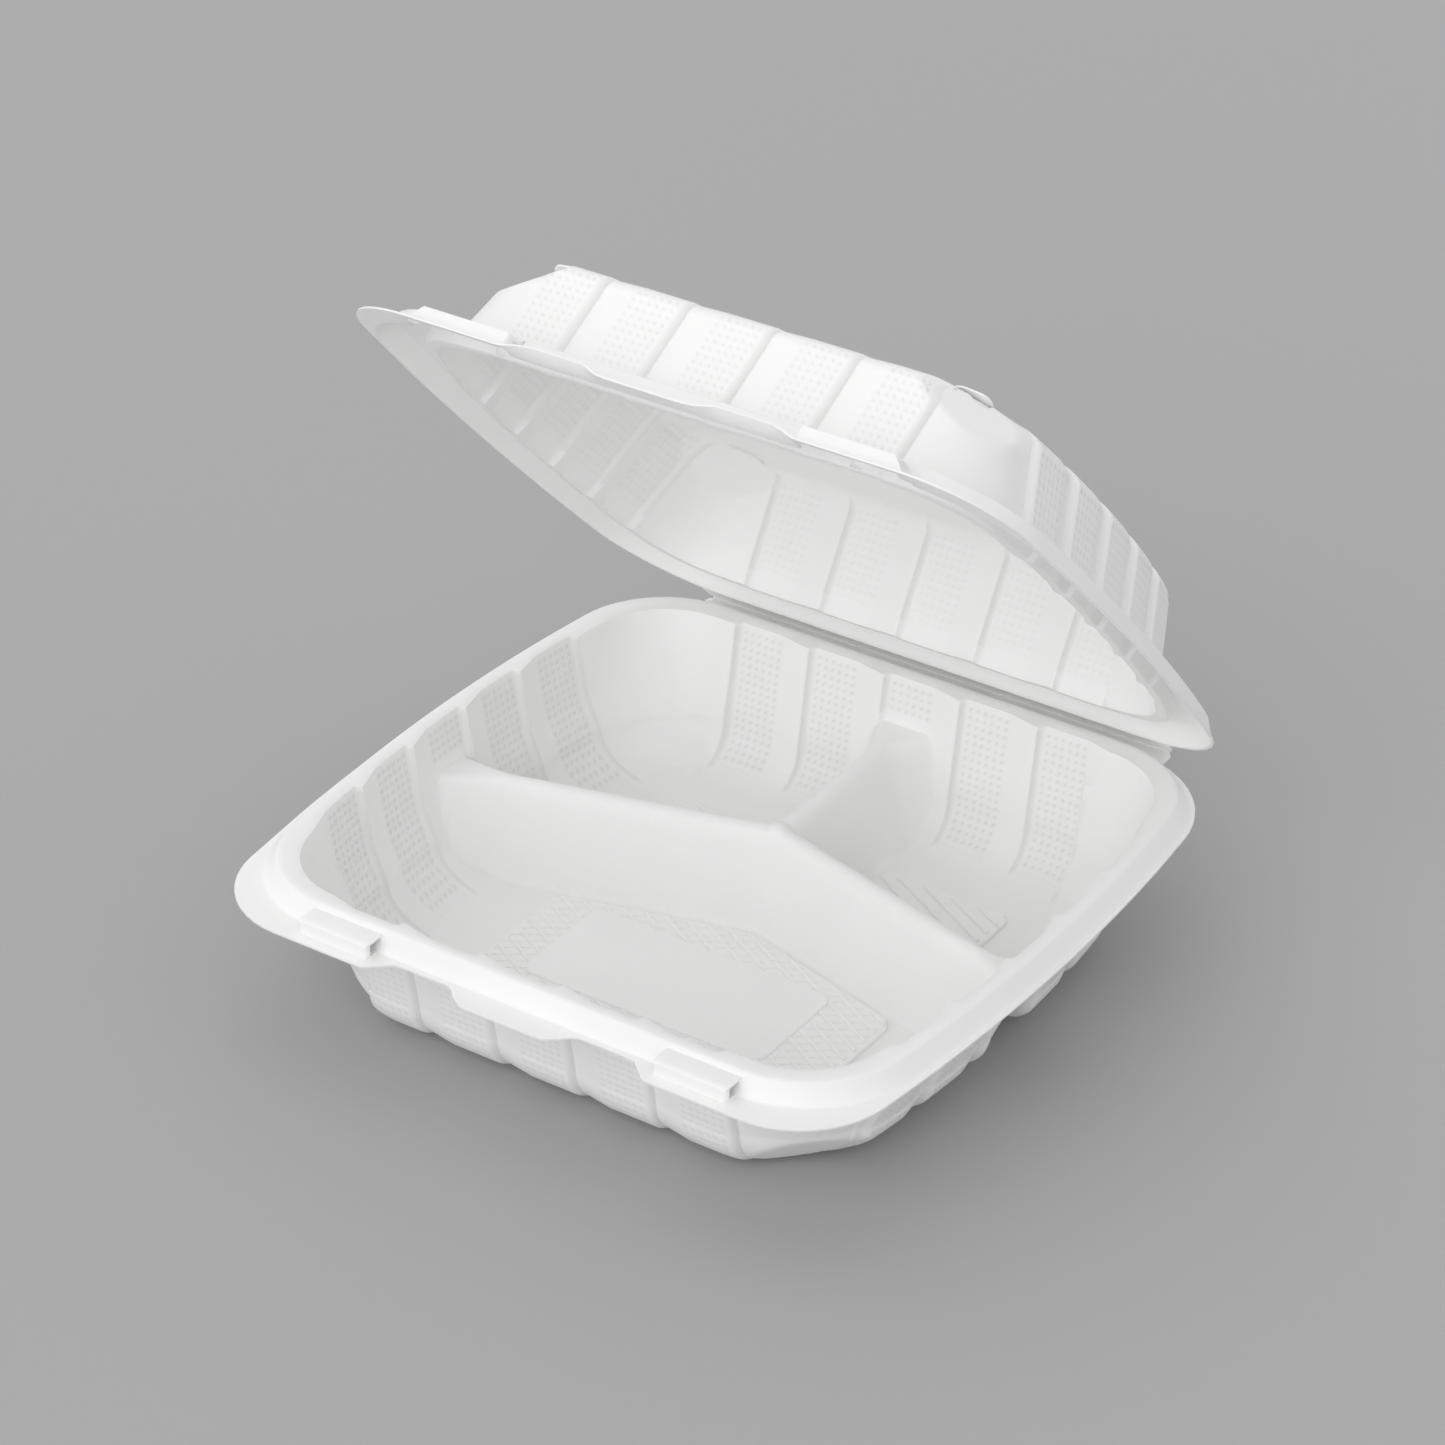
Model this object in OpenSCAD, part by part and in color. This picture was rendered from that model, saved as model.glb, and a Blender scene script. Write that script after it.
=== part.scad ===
// Hinged food container: one formed plastic sheet with a three-compartment base and a domed lid.
// Origin on the table under the middle of the open container, +Z up, latch side at -Y, hinge at +Y.

/* [Rim] */
// How far the middle of the rim lies in front of the origin
rim_ahead = 6.4; // [0:0.1:20]
// Depth of the rim from the front lip to the back lip
rim_depth = 228.6; // [200:0.1:260]
// Width of the rim between the ends of the bowed sides
rim_width = 218; // [200:0.5:240]
// How far each side bows outwards at its middle
side_bow = 9.2; // [4:0.1:12]
// Radius of the two front corners of the lip
lip_front_r = 31; // [24:0.5:36]
// Radius of the two back corners of the lip
lip_back_r = 38.5; // [32:0.5:44]
// Lip outside the bead crest along the sides and the back
lip_side = 6.4; // [6:0.1:8]
// Flange outside the bead crest along the front
lip_front = 13.6; // [12:0.1:16]
// Corner radius of the bead crest
bead_r = 33; // [31:0.5:38]
// Height of the bead above the lip
bead_height = 5.9; // [4.8:0.1:7]
// Half the flat on top of the bead
bead_flat = 1.2; // [0.6:0.1:1.6]
// Distance from the bead crest to the foot of its outer slope
bead_foot = 4.8; // [4:0.1:5.2]
// Distance from the bead crest to the inner edge of the rim
rim_inner = 3.3; // [2.8:0.1:3.8]
// Drop from the bead crest to the inner edge of the rim
rim_drop = 0.7; // [0.4:0.1:1.2]
// Depth of the two finger scoops in the front flange
scoop_depth = 6.6; // [4:0.1:7]
// Half the thumb tab between the scoops
tab_half = 14; // [10:0.5:18]
// Length of each slanted end of a scoop
scoop_ramp = 10; // [7:0.5:12]
// Straight length at the bottom of a scoop
scoop_run = 17; // [12:0.5:20]

/* [Sheet] */
// Thickness of the formed sheet
sheet = 0.6; // [0.5:0.05:0.8]
// Gap between the lid and the base when closed
lid_gap = 0.4; // [0.3:0.05:0.6]

/* [Pleats] */
// How far the smooth panels lie inside the textured ones
pleat_depth = 2.2; // [1.2:0.1:2.4]
// Distance from the end of a side to the base's nearest front groove
pleat_margin = 36.8; // [35:0.1:40]
// Distance from the front of the bead to the base's nearest side groove
side_margin = 33.2; // [32:0.1:36]
// Place of the base's middle front groove to the right of the centre
front_groove = 9; // [7:0.1:9.5]
// Place of the base's middle right-hand groove in front of the centre
side_groove = 12.5; // [10:0.1:13]
// Distance from the end of a side to the lid's nearest front groove
lid_margin = 33.4; // [32:0.1:37]
// Distance from the front of the bead to the lid's nearest right-hand groove
lid_side_margin = 45.2; // [43:0.1:47]
// Place of the lid's middle front groove to the right of the centre
lid_front_groove = 11.6; // [9:0.1:12]
// Place of the lid's middle back groove to the left of the centre
lid_back_groove = 7.2; // [6:0.1:9]
// Place of the lid's middle right-hand groove in front of the centre
lid_side_groove = 3.5; // [1:0.1:6]
// Place of the lid's middle left-hand groove behind the centre
lid_left_groove = 20.5; // [16:0.1:22]
// Length of the flat textured panel of a pleat
panel_run = 15.8; // [14:0.1:16]
// Length of the step beside a panel
step_run = 2; // [1.4:0.1:2.4]

/* [Base] */
// Height of the rim's lip above the table
base_height = 43; // [38:0.5:50]
// Slope of the base walls from upright, in degrees
base_draft = 10; // [7:0.5:12]
// Height of the rounding between walls and floor
floor_round = 15; // [10:0.5:17]
// Width of the rounding between walls and floor
floor_sweep = 15.8; // [10:0.1:17]
// Extra width of that rounding at the two sides
side_sweep = 11; // [4:0.5:13]
// Depth below the lip at which the side walls start to lean further in
side_knee = 16; // [10:0.5:20]
// How much further in the side walls lie at their foot
side_lean = 2.6; // [0:0.1:4]
// Corner radius of the base at the foot of its walls
base_corner = 39; // [33:0.5:42]
// Distance of the slanted corner facets inside the square corner of the bead at floor level
base_cut = 41.3; // [36:0.1:48]
// Slope of those facets, as outward run for each unit of rise
base_facet_run = 1.1; // [0.8:0.05:1.4]
// Height of the raised floor panels
panel_rise = 1.5; // [1:0.1:2.2]
// Half the width of the front floor panel
panel_half = 62; // [54:0.5:64]
// Front edge of the front floor panel in front of the centre
panel_front = 61; // [54:0.5:63]
// Gap between a floor panel and the foot of a divider
panel_gap = 3; // [2:0.5:5]

/* [Dividers] */
// Depth of the divider tops below the lip
divider_drop = 11; // [8:0.5:15]
// Half the thickness of a divider at its top
divider_top = 3.4; // [2.6:0.1:4.5]
// Half the thickness of a divider at the floor
divider_foot = 11.5; // [9:0.5:13]
// Place of the divider fork behind the centre
fork_y = 30; // [25:0.5:33]
// How far the outer ends of the arms lie in front of the fork
arm_sweep = 27; // [20:0.5:29]
// Length over which a divider flares out to the wall
flare_run = 18; // [12:0.5:22]
// How far a divider flares out to each side at the wall
flare_half = 11; // [6:0.5:13]

/* [Lid] */
// Height of the lid's ceiling above its lip
lid_height = 39; // [34:0.5:46]
// Slope of the lid walls from upright, in degrees
lid_draft = 15; // [8:0.5:17]
// Height of the rounding between the lid walls and ceiling
crown_round = 6; // [4:0.5:9]
// Width of the rounding between the lid walls and ceiling
crown_sweep = 9; // [5:0.5:12]
// Extra width of that rounding at the two sides of the lid
crown_side = 4; // [0:0.5:9]
// How much further in the side walls of the lid lie at their top
lid_side_lean = 0.6; // [0:0.1:4]
// Corner radius of the lid at the top of its walls
lid_corner = 34.5; // [31:0.5:44]
// Distance of the slanted corner facets inside the square corner of the bead at ceiling level
lid_cut = 45.3; // [38:0.1:52]
// Slope of those facets, as outward run for each unit of fall
lid_facet_run = 1.15; // [0.8:0.05:1.5]
// Room over the bead inside the lid's channel
channel_room = 0.9; // [0.4:0.1:1.5]
// How far the lid's plug reaches below the bead crest
plug_reach = 3.4; // [2.6:0.1:4]
// Width of the plug's flat edge
plug_edge = 2.6; // [2:0.1:3.2]
// Angle that the lid stands open, in degrees
lid_open = 46.6; // [0:0.1:120]

/* [Hinge] */
// Distance from the back lip to the hinge line
hinge_reach = 5.6; // [4:0.1:7]
// Length of the hinge strap
hinge_run = 174; // [150:1:180]
// Gap between each half of the strap and the hinge line
hinge_slack = 0.2; // [0.15:0.05:0.4]

/* [Latches] */
// Distance of each latch from the centre
latch_x = 63; // [61:0.5:65]
// Length of a latch block
latch_run = 25; // [20:0.5:27]
// Width of a latch block outside the bead crest
latch_wide = 10; // [9:0.1:11]
// Height of a latch block above the lip
latch_tall = 4.6; // [3.8:0.1:4.8]
// Width of the open slot in each end of a latch
latch_slot = 4; // [3:0.1:5]

/* [Vents] */
// Distance of each steam vent inside the bead crest at the end of a side
vent_side = 33.6; // [32:0.1:42]
// Distance of each steam vent inside the bead crest of the front or back
vent_end = 36.3; // [35:0.1:46]
// Length of a steam vent
vent_run = 15; // [11:0.5:17]
// Width of a steam vent
vent_wide = 5; // [4:0.5:7]
// Height of the hood over a steam vent
vent_rise = 2.2; // [1.4:0.1:2.6]

/* [Hidden] */
white = [0.95, 0.95, 0.94];
pleats = 5;
corner_steps = 7;
blend_steps = 4;

crest_half = rim_width / 2 - lip_side;
crest_front = -rim_depth / 2 + lip_front;
crest_back = rim_depth / 2 - lip_side;
corner_reach = (crest_half + (crest_back - crest_front) / 2) / sqrt(2);
base_facet = corner_reach - base_cut;
lid_facet = corner_reach - lid_cut;
pleat_pitch = (crest_half - pleat_margin - front_groove) / 2;
side_pitch = (-crest_front - side_margin - side_groove) / 2;
lid_pitch = (crest_half - lid_margin - lid_front_groove) / 2;
lid_side_pitch = (-crest_front - lid_side_margin - lid_side_groove) / 2;
hinge_y = rim_depth / 2 + hinge_reach;
hinge_z = base_height + lid_gap / 2;
wall_top = bead_height - rim_drop;
floor_z = sheet - base_height;
plug_z = bead_height - plug_reach;
plug_in = rim_inner + pleat_depth + wall_top * tan(base_draft) + lid_gap;
latch_in = bead_flat;
vent_x = crest_half - vent_side;
vent_y = (crest_back - crest_front) / 2 - vent_end;
latch_mid = (latch_wide + bead_foot) / 2;

// Half-width of a bowed side at a given depth
function side_x(o, y) =
    let (mid = (o[2] + o[3]) / 2, half = (o[3] - o[2]) / 2)
    o[0] + o[1] * (1 - pow((y - mid) / half, 2));

// Slope of a bowed side at a given depth, in degrees
function side_slope(o, y) =
    let (mid = (o[2] + o[3]) / 2, half = (o[3] - o[2]) / 2)
    atan(-2 * o[1] * (y - mid) / pow(half, 2));

// Corner arc of an outline as [centre x, centre y, radius, slope of the side where the arc ends]
function corner(o, back) =
    let (r = back ? o[5] : o[4])
    let (cy = back ? o[3] - r : o[2] + r)
    let (first = side_slope(o, cy))
    let (slope = side_slope(o, cy - r * sin(first)))
    [side_x(o, cy - r * sin(slope)) - r * cos(slope), cy, r, slope];

// Outline of the rim at a distance inside the bead crest
function rim_outline(inset, side_extra = 0, corner_extra = 0) =
    let (r = bead_r - inset + corner_extra)
    [crest_half - inset - side_extra, side_bow, crest_front + inset, crest_back - inset, r, r];

lip_outline = [rim_width / 2, side_bow, -rim_depth / 2, rim_depth / 2, lip_front_r, lip_back_r];

// Pleats along the front or back, from left to right, as [place, 1 where recessed or 0 where raised]
function end_pleats(groove, pitch) = [
    for (k = [0:pleats - 1])
        let (g = groove + (k - 2) * pitch)
        each [[g - step_run - panel_run, 0], [g - step_run, 0], [g, 1]]
];
// Pleats along a side, from front to back
function side_pleats(groove, pitch) = [
    for (k = [0:pleats - 1])
        let (g = (k - 2) * pitch - groove)
        each [[g, 1], [g + step_run, 0], [g + step_run + panel_run, 0]]
];
// Pleats along the front, the right, the back and the left. The last two run the other way.
base_pleats = [
    end_pleats(front_groove, pleat_pitch),
    side_pleats(side_groove, side_pitch),
    end_pleats(front_groove, pleat_pitch),
    side_pleats(side_groove, side_pitch)
];
lid_pleats = [
    end_pleats(lid_front_groove, lid_pitch),
    side_pleats(lid_side_groove, lid_side_pitch),
    end_pleats(lid_back_groove, lid_pitch),
    side_pleats(lid_left_groove, lid_side_pitch)
];

// Points of a corner arc between two directions, without its two ends
function arc_points(c, depth, flip, from, to) = [
    for (i = [1:corner_steps - 1])
        let (a = from + (to - from) * i / corner_steps)
        [flip * (c[0] + (c[2] - depth) * cos(a)), c[1] + (c[2] - depth) * sin(a)]
];

// How far round a corner arc a place beyond the end of its straight run lies, in degrees
function arc_turn(c, beyond) = beyond > 0 ? asin(min(beyond / c[2], 0.7)) : 0;

// Fall of the outline from its straight run at a place beyond the end of that run
function arc_fall(c, beyond) = c[2] * (1 - cos(arc_turn(c, beyond)));

// Half-width of an outline at a given depth, round its corners too
function outline_x(o, f, b, y) =
    let (y0 = f[1] - f[2] * sin(f[3]), y1 = b[1] - b[2] * sin(b[3]))
    y < y0 ? f[0] + f[2] * cos(arc_turn(f, f[1] - y)) :
    y > y1 ? b[0] + b[2] * cos(arc_turn(b, y - b[1])) :
    side_x(o, y);

// Farthest place of a run of stations from the centre line
function farthest(run) = max([for (s = run) abs(s[0])]) + 1;

// Point moved back to a slanted facet if it lies beyond it
function faceted(p, limit) =
    let (c = (crest_front + crest_back) / 2)
    let (n = unit([p[0] < 0 ? -1 : 1, p[1] < c ? -1 : 1]))
    let (over = max(0, n * [p[0], p[1] - c] - limit))
    [p[0] - n[0] * over, p[1] - n[1] * over];

// Closed outline at one height, with its straight runs pleated by the given depth
function ring(o, depth, z, runs, limit) =
    let (f = corner(o, false), b = corner(o, true))
    let (fx = max(f[0], farthest(runs[0])), bx = max(b[0], farthest(runs[2])))
    let (fy = f[1] - f[2] * sin(f[3]), by = b[1] - b[2] * sin(b[3]))
    let (y0 = min(fy, runs[1][0][0] - 1), y1 = max(by, runs[1][len(runs[1]) - 1][0] + 1))
    let (y2 = max(by, 1 - runs[3][0][0]), y3 = min(fy, -1 - runs[3][len(runs[3]) - 1][0]))
    let (front = function(x) o[2] + arc_fall(f, abs(x) - f[0]))
    let (back = function(x) o[3] - arc_fall(b, abs(x) - b[0]))
    let (side = function(y) outline_x(o, f, b, y))
    let (f0 = arc_turn(f, fx - f[0]) - 90, b0 = 90 - arc_turn(b, bx - b[0]))
    let (near = function(y) -max(arc_turn(f, f[1] - y), f[3]))
    let (far = function(y) max(arc_turn(b, y - b[1]), -b[3]))
    let (plan = concat(
        [for (s = concat([[-fx, 1]], runs[0], [[fx, 1]])) [s[0], front(s[0]) + s[1] * depth]],
        arc_points(f, depth, 1, f0, near(y0)),
        [for (s = concat([[y0, 1]], runs[1], [[y1, 1]])) [side(s[0]) - s[1] * depth, s[0]]],
        arc_points(b, depth, 1, far(y1), b0),
        [for (s = concat([[-bx, 1]], runs[2], [[bx, 1]])) [-s[0], back(s[0]) - s[1] * depth]],
        arc_points(b, depth, -1, b0, far(y2)),
        [for (s = concat([[-y2, 1]], runs[3], [[-y3, 1]])) [s[1] * depth - side(-s[0]), -s[0]]],
        arc_points(f, depth, -1, near(y3), f0)
    ))
    [for (p = plan) let (q = faceted(p, limit)) [q[0], q[1], z]];

function unit(v) = v / norm(v);

// Right-hand normal of the step from one profile point to the next
function step_normal(a, b) =
    let (d = unit([b[0] - a[0], b[1] - a[1]]))
    [d[1], -d[0]];

// Profile moved sideways by a distance, with mitred corners
function moved_profile(p, t) = [
    for (i = [0:len(p) - 1])
        let (n1 = step_normal(p[max(i - 1, 0)], p[max(i, 1)]))
        let (n2 = step_normal(p[min(i, len(p) - 2)], p[min(i + 1, len(p) - 1)]))
        let (m = unit(n1 + n2))
        let (k = t / (m * n1))
        [p[i][0] + m[0] * k, p[i][1] + m[1] * k, p[i][2], p[i][3], p[i][4]]
];

// Quarter ellipse between a wall and a floor. Each place on a profile is given as
// [inset, height, pleat share, extra inset at the sides, extra corner radius]
function blend(inset, z, sweep, rise, lean, side, corner_r) = concat([
    for (i = [0:blend_steps])
        let (a = 90 * i / blend_steps, k = 1 - cos(a), in = inset + sweep * k)
        [in, z + rise * sin(a), sqrt(max(cos(a), 0.02)), lean + side * k, corner_r - bead_r + inset]
], [[inset + sweep + 1, z + rise, 0, lean + side, corner_r - bead_r + inset]]);

rim_profile = [
    [-lip_side, 0, 0, 0, 0],
    [-bead_foot - 0.5, 0, 0, 0, 0],
    [-bead_foot, 0.5, 0, 0, 0],
    [-bead_flat, bead_height, 0, 0, 0],
    [bead_flat, bead_height, 0, 0, 0],
    [rim_inner, wall_top, 1, 0, 0]
];
base_foot = [
    rim_inner + (wall_top - floor_z - floor_round) * tan(base_draft),
    floor_z + floor_round
];
base_knee = [
    rim_inner + (wall_top + side_knee) * tan(base_draft), -side_knee, 1, 0,
    (base_corner - bead_r + base_foot[0]) * (wall_top + side_knee) / (wall_top - base_foot[1])
];
base_profile = concat(rim_profile, [base_knee],
    blend(base_foot[0], base_foot[1], floor_sweep, -floor_round, side_lean, side_sweep, base_corner));

plug_profile = [
    [-lip_side, lid_gap, 0, 0, 0],
    [-bead_foot - 1, lid_gap, 0, 0, 0],
    [-bead_foot - 0.5, 0.5 + lid_gap, 0, 0, 0],
    [-bead_flat - 0.5, bead_height + channel_room, 0, 0, 0],
    [plug_in - 0.8, bead_height + channel_room, 0, 0, 0],
    [plug_in, plug_z, 0, 0, 0],
    [plug_in + plug_edge, plug_z, 0, 0, 4],
    [plug_in + plug_edge + bead_height * tan(lid_draft), plug_z + bead_height, 1, 0, 8]
];
crown_foot = [
    plug_in + plug_edge + (lid_height - crown_round - plug_z) * tan(lid_draft),
    lid_height - crown_round
];
lid_profile = concat(plug_profile,
    blend(crown_foot[0], crown_foot[1], crown_sweep, crown_round, lid_side_lean, crown_side, lid_corner));

// Distance from the centre to the corner facets of the base at a height
function base_limit(z) = z > 0 ? rim_width : base_facet + base_facet_run * (z - floor_z);

// Distance from the centre to the corner facets of the lid at a height
function lid_limit(z) = z < lid_height / 2 ? rim_width : lid_facet + lid_facet_run * (lid_height - z);

// How far a facet moves outwards on the outer face of the sheet
function facet_shift(run) = sheet * sqrt(1 + run * run);

// Rings that follow a profile inwards from the lip
function profile_rings(p, runs, limit) = [
    for (i = [1:len(p) - 1])
        let (q = p[i])
        ring(rim_outline(q[0], q[3], q[4]), q[2] * pleat_depth, q[1], runs, limit(q[1]))
];

// Solid inside a stack of rings, closed by flat ends
module filled_rings(rings) {
    n = len(rings[0]);
    last = len(rings) - 1;
    hub = [for (r = [rings[0], rings[last]]) [0, (crest_front + crest_back) / 2, r[0][2]]];
    points = [for (r = rings) each r];
    walls = [
        for (k = [0:last - 1], i = [0:n - 1])
            let (a = k * n + i, b = k * n + (i + 1) % n)
            each [[a, a + n, b], [b, a + n, b + n]]
    ];
    caps = [
        for (i = [0:n - 1])
            let (j = (i + 1) % n)
            each [[len(points), i, j], [len(points) + 1, last * n + j, last * n + i]]
    ];
    polyhedron(concat(points, hub), concat(walls, caps));
}

// Closed sheet between two stacks of rings that run from the lip to the middle
module formed_sheet(upper, lower) {
    filled_rings(concat([for (i = [len(lower) - 1:-1:0]) lower[i]], upper));
}

// Cuts that leave a thumb tab between two finger scoops in the front flange
module scoops(low, high) {
    steps = 8;
    edge = rim_depth / 2 + 0.2;
    depth = scoop_depth + 0.2;
    far = tab_half + scoop_ramp + scoop_run;
    ramp = [for (i = [0:steps]) [i / steps, (1 - cos(180 * i / steps)) / 2]];
    near_end = [for (r = ramp) [tab_half + r[0] * scoop_ramp, r[1] * depth - edge]];
    far_end = [for (r = ramp) [far + r[0] * scoop_ramp, (1 - r[1]) * depth - edge]];
    for (s = [0, 1])
        mirror([s, 0, 0])
            translate([0, 0, low])
                linear_extrude(high - low)
                    polygon(concat(near_end, far_end));
}

// Cross-section of a divider at one place, grown by a distance all round
module ridge_section(place, grow) {
    translate([place[0], place[1], 0]) {
        translate([0, 0, -divider_drop - divider_top]) {
            sphere(r = divider_top + grow, $fn = 16);
            cylinder(r1 = (divider_top + grow) / 2, r2 = 0, h = divider_top + grow, $fn = 16);
        }
        translate([0, 0, -base_height - 1])
            cylinder(r = divider_foot + grow, h = 1 + sheet, $fn = 20);
    }
}

// One divider from the fork to the wall, flared at the wall and carried on beyond it
module ridge(from, to, beyond, grow) {
    along = unit(to - from);
    side = [-along[1], along[0]] * flare_half;
    neck = to - along * flare_run;
    hull() {
        ridge_section(from, grow);
        ridge_section(neck, grow);
    }
    hull() {
        ridge_section(neck, grow);
        for (w = [-1, 1], d = [0, beyond])
            ridge_section(to + side * w + along * d, grow);
    }
}

// The three dividers that meet at the fork
module ridges(grow, beyond) {
    fork = [0, fork_y];
    for (s = [-1, 1])
        ridge(fork, fork + [s * crest_half, -arm_sweep], beyond, grow);
    ridge(fork, [0, crest_back - rim_inner], beyond, grow);
}

// Outline of the front floor panel
function front_panel() =
    let (slope = arm_sweep / crest_half, gap = divider_foot + panel_gap)
    let (back = fork_y - gap * sqrt(1 + slope * slope))
    [[-panel_half, -panel_front], [panel_half, -panel_front], [panel_half, back - slope * panel_half],
     [0, back], [-panel_half, back - slope * panel_half]];

// Outline of the right-hand rear floor panel
function rear_panel() =
    let (slope = arm_sweep / crest_half, gap = divider_foot + panel_gap)
    let (front = fork_y + gap * sqrt(1 + slope * slope), back = panel_front + 2 * panel_gap)
    [[gap, front - slope * gap], [panel_half, front - slope * panel_half],
     [panel_half, back], [gap, back]];

// A raised floor panel with rounded corners
module floor_panel(points, grow) {
    round_r = 5;
    linear_extrude(panel_rise + 1)
        offset(r = round_r + grow, $fn = 24)
            offset(delta = -round_r)
                polygon(points);
}

// The three raised floor panels
module floor_panels(grow) {
    floor_panel(front_panel(), grow);
    for (s = [0, 1])
        mirror([s, 0, 0])
            floor_panel(rear_panel(), grow);
}

// A latch block from a given height upwards, grown by a distance all round
module latch_block(grow, low) {
    round_r = 1.8;
    outer = latch_wide + grow - round_r;
    inner = latch_in - grow + round_r;
    half = latch_run / 2 + grow - round_r;
    hull()
        for (x = [-half, half], y = [-outer, -inner])
            translate([x, crest_front + y, low])
                cylinder(r1 = round_r, r2 = round_r * 0.6, h = latch_tall + grow - low, $fn = 16);
}

// Both latch blocks
module latch_blocks(grow, low) {
    for (s = [-1, 1])
        translate([s * latch_x, 0, 0])
            latch_block(grow, low);
}

// Slots through the ends of both latches
module latch_slots(grow, low, high) {
    for (s = [-1, 1], e = [-1, 1])
        translate([s * latch_x + e * (latch_run / 2 + grow), crest_front - latch_mid, (low + high) / 2])
            cube([2.4, latch_slot, high - low], center = true);
}

// Half of the hinge strap that belongs to one shell, at the given height
module hinge_strap(low) {
    overlap = 1;
    translate([-hinge_run / 2, rim_depth / 2 - overlap, low])
        cube([hinge_run, overlap + hinge_reach - hinge_slack, sheet]);
}

// Outline of a steam vent: one straight edge and one bowed edge
module vent_lens(grow) {
    bulge = vent_wide + grow;
    reach = vent_run / 2 + grow;
    steps = 8;
    polygon([for (i = [-steps:steps]) [reach * i / steps, bulge * (1 - pow(i / steps, 2))]]);
}

// Hood over a steam vent from a given height upwards, grown by a distance
module vent_hood(grow, low) {
    hull() {
        translate([0, 0, low])
            linear_extrude(-low)
                vent_lens(grow);
        linear_extrude(vent_rise + grow)
            scale(0.6)
                vent_lens(grow);
    }
}

// Four places for steam vents, one near each corner of the ceiling
module at_vents() {
    for (sx = [-1, 1], sy = [-1, 1])
        translate([sx * vent_x, (crest_front + crest_back) / 2 + sy * vent_y, lid_height + sheet])
            rotate(sy > 0 ? -18 * sx : 180 + 18 * sx)
                children();
}

base_inner = profile_rings(base_profile, base_pleats, function(z) base_limit(z));
base_outer = profile_rings(moved_profile(base_profile, sheet), base_pleats,
    function(z) base_limit(z) + facet_shift(base_facet_run));
base_lip = [for (z = [0, -sheet]) ring(lip_outline, 0, z, base_pleats, rim_width)];
wall_rings = [for (i = [len(base_outer) - 1:-1:len(rim_profile) - 2]) base_outer[i]];

// Compartment base with its dividers, front flange, latch blocks and half of the hinge
module base() {
    color(white)
        translate([0, -rim_ahead, base_height])
            difference() {
                union() {
                    formed_sheet(concat([base_lip[0]], base_inner), concat([base_lip[1]], base_outer));
                    intersection() {
                        filled_rings(wall_rings);
                        union() {
                            ridges(sheet / 2, side_bow);
                            translate([0, 0, floor_z - 1])
                                floor_panels(sheet);
                        }
                    }
                    latch_blocks(0, -sheet);
                    hinge_strap(-sheet);
                }
                ridges(-sheet / 2, 2 * side_bow);
                translate([0, 0, floor_z - sheet - 1])
                    floor_panels(0);
                latch_blocks(-sheet, -1);
                latch_slots(0, 0.6, latch_tall - 1.6);
                scoops(-1, 1);
            }
}

lid_inner = profile_rings(lid_profile, lid_pleats, function(z) lid_limit(z));
lid_outer = profile_rings(moved_profile(lid_profile, -sheet), lid_pleats,
    function(z) lid_limit(z) + facet_shift(lid_facet_run));
lid_lip = [for (z = [0, sheet]) ring(lip_outline, 0, lid_gap + z, lid_pleats, rim_width)];

// Domed lid with its plug, latch pockets, steam vents and half of the hinge, in its closed place
module closed_lid() {
    difference() {
        union() {
            formed_sheet(concat([lid_lip[1]], lid_outer), concat([lid_lip[0]], lid_inner));
            difference() {
                union() {
                    latch_blocks(lid_gap + sheet, lid_gap + sheet / 2);
                    at_vents()
                        vent_hood(0, -vent_rise);
                }
                filled_rings(lid_inner);
            }
            hinge_strap(lid_gap);
        }
        latch_blocks(lid_gap, -1);
        latch_slots(lid_gap + sheet, lid_gap + 1, latch_tall - 0.6);
        at_vents()
            translate([0, -sheet / 2, 0])
                vent_hood(-sheet, -vent_rise - 2 * sheet);
        scoops(-1, 2);
    }
}

// Lid at the angle it stands open
module lid() {
    color(white)
        translate([0, hinge_y - rim_ahead, hinge_z])
            rotate([-lid_open, 0, 0])
                translate([0, -hinge_y, -lid_gap / 2])
                    closed_lid();
}

base();
lid();
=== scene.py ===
"""Hinged food container of thin white plastic, dressed around its CAD frame.

Shell coordinates are millimetres about the middle of the rim, with z = 0 on top of the base's lip and the lid
in its closed place. Each finished piece is seated in the row frame, in metres.
"""

import logging
import math
from dataclasses import dataclass, field
from enum import Enum
from typing import Callable, Dict, List, Optional, Sequence, Tuple

import bmesh
import bpy
import numpy as np
from mathutils import Matrix, Vector
from mathutils.geometry import delaunay_2d_cdt

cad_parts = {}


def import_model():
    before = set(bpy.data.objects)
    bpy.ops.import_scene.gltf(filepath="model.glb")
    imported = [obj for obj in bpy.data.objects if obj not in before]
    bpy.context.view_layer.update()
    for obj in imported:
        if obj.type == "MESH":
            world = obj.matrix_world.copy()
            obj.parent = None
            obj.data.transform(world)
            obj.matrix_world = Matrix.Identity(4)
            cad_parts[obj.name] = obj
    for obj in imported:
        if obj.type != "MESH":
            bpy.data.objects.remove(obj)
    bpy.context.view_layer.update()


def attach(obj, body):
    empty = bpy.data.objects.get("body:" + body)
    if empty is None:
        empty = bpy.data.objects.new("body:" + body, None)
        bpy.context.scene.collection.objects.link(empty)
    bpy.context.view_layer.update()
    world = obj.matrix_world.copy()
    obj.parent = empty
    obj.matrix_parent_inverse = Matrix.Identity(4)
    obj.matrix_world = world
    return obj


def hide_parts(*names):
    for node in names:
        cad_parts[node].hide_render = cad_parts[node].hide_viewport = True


LOG = logging.getLogger("container")
MM = 0.001
QUARTER = math.pi / 2.0
# Points along and across one dimple of the weave
DIMPLE_POINTS = 3
# Share of a direction along an axis from which an edge or a face counts as lying along it
ALONG = 0.9

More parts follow.
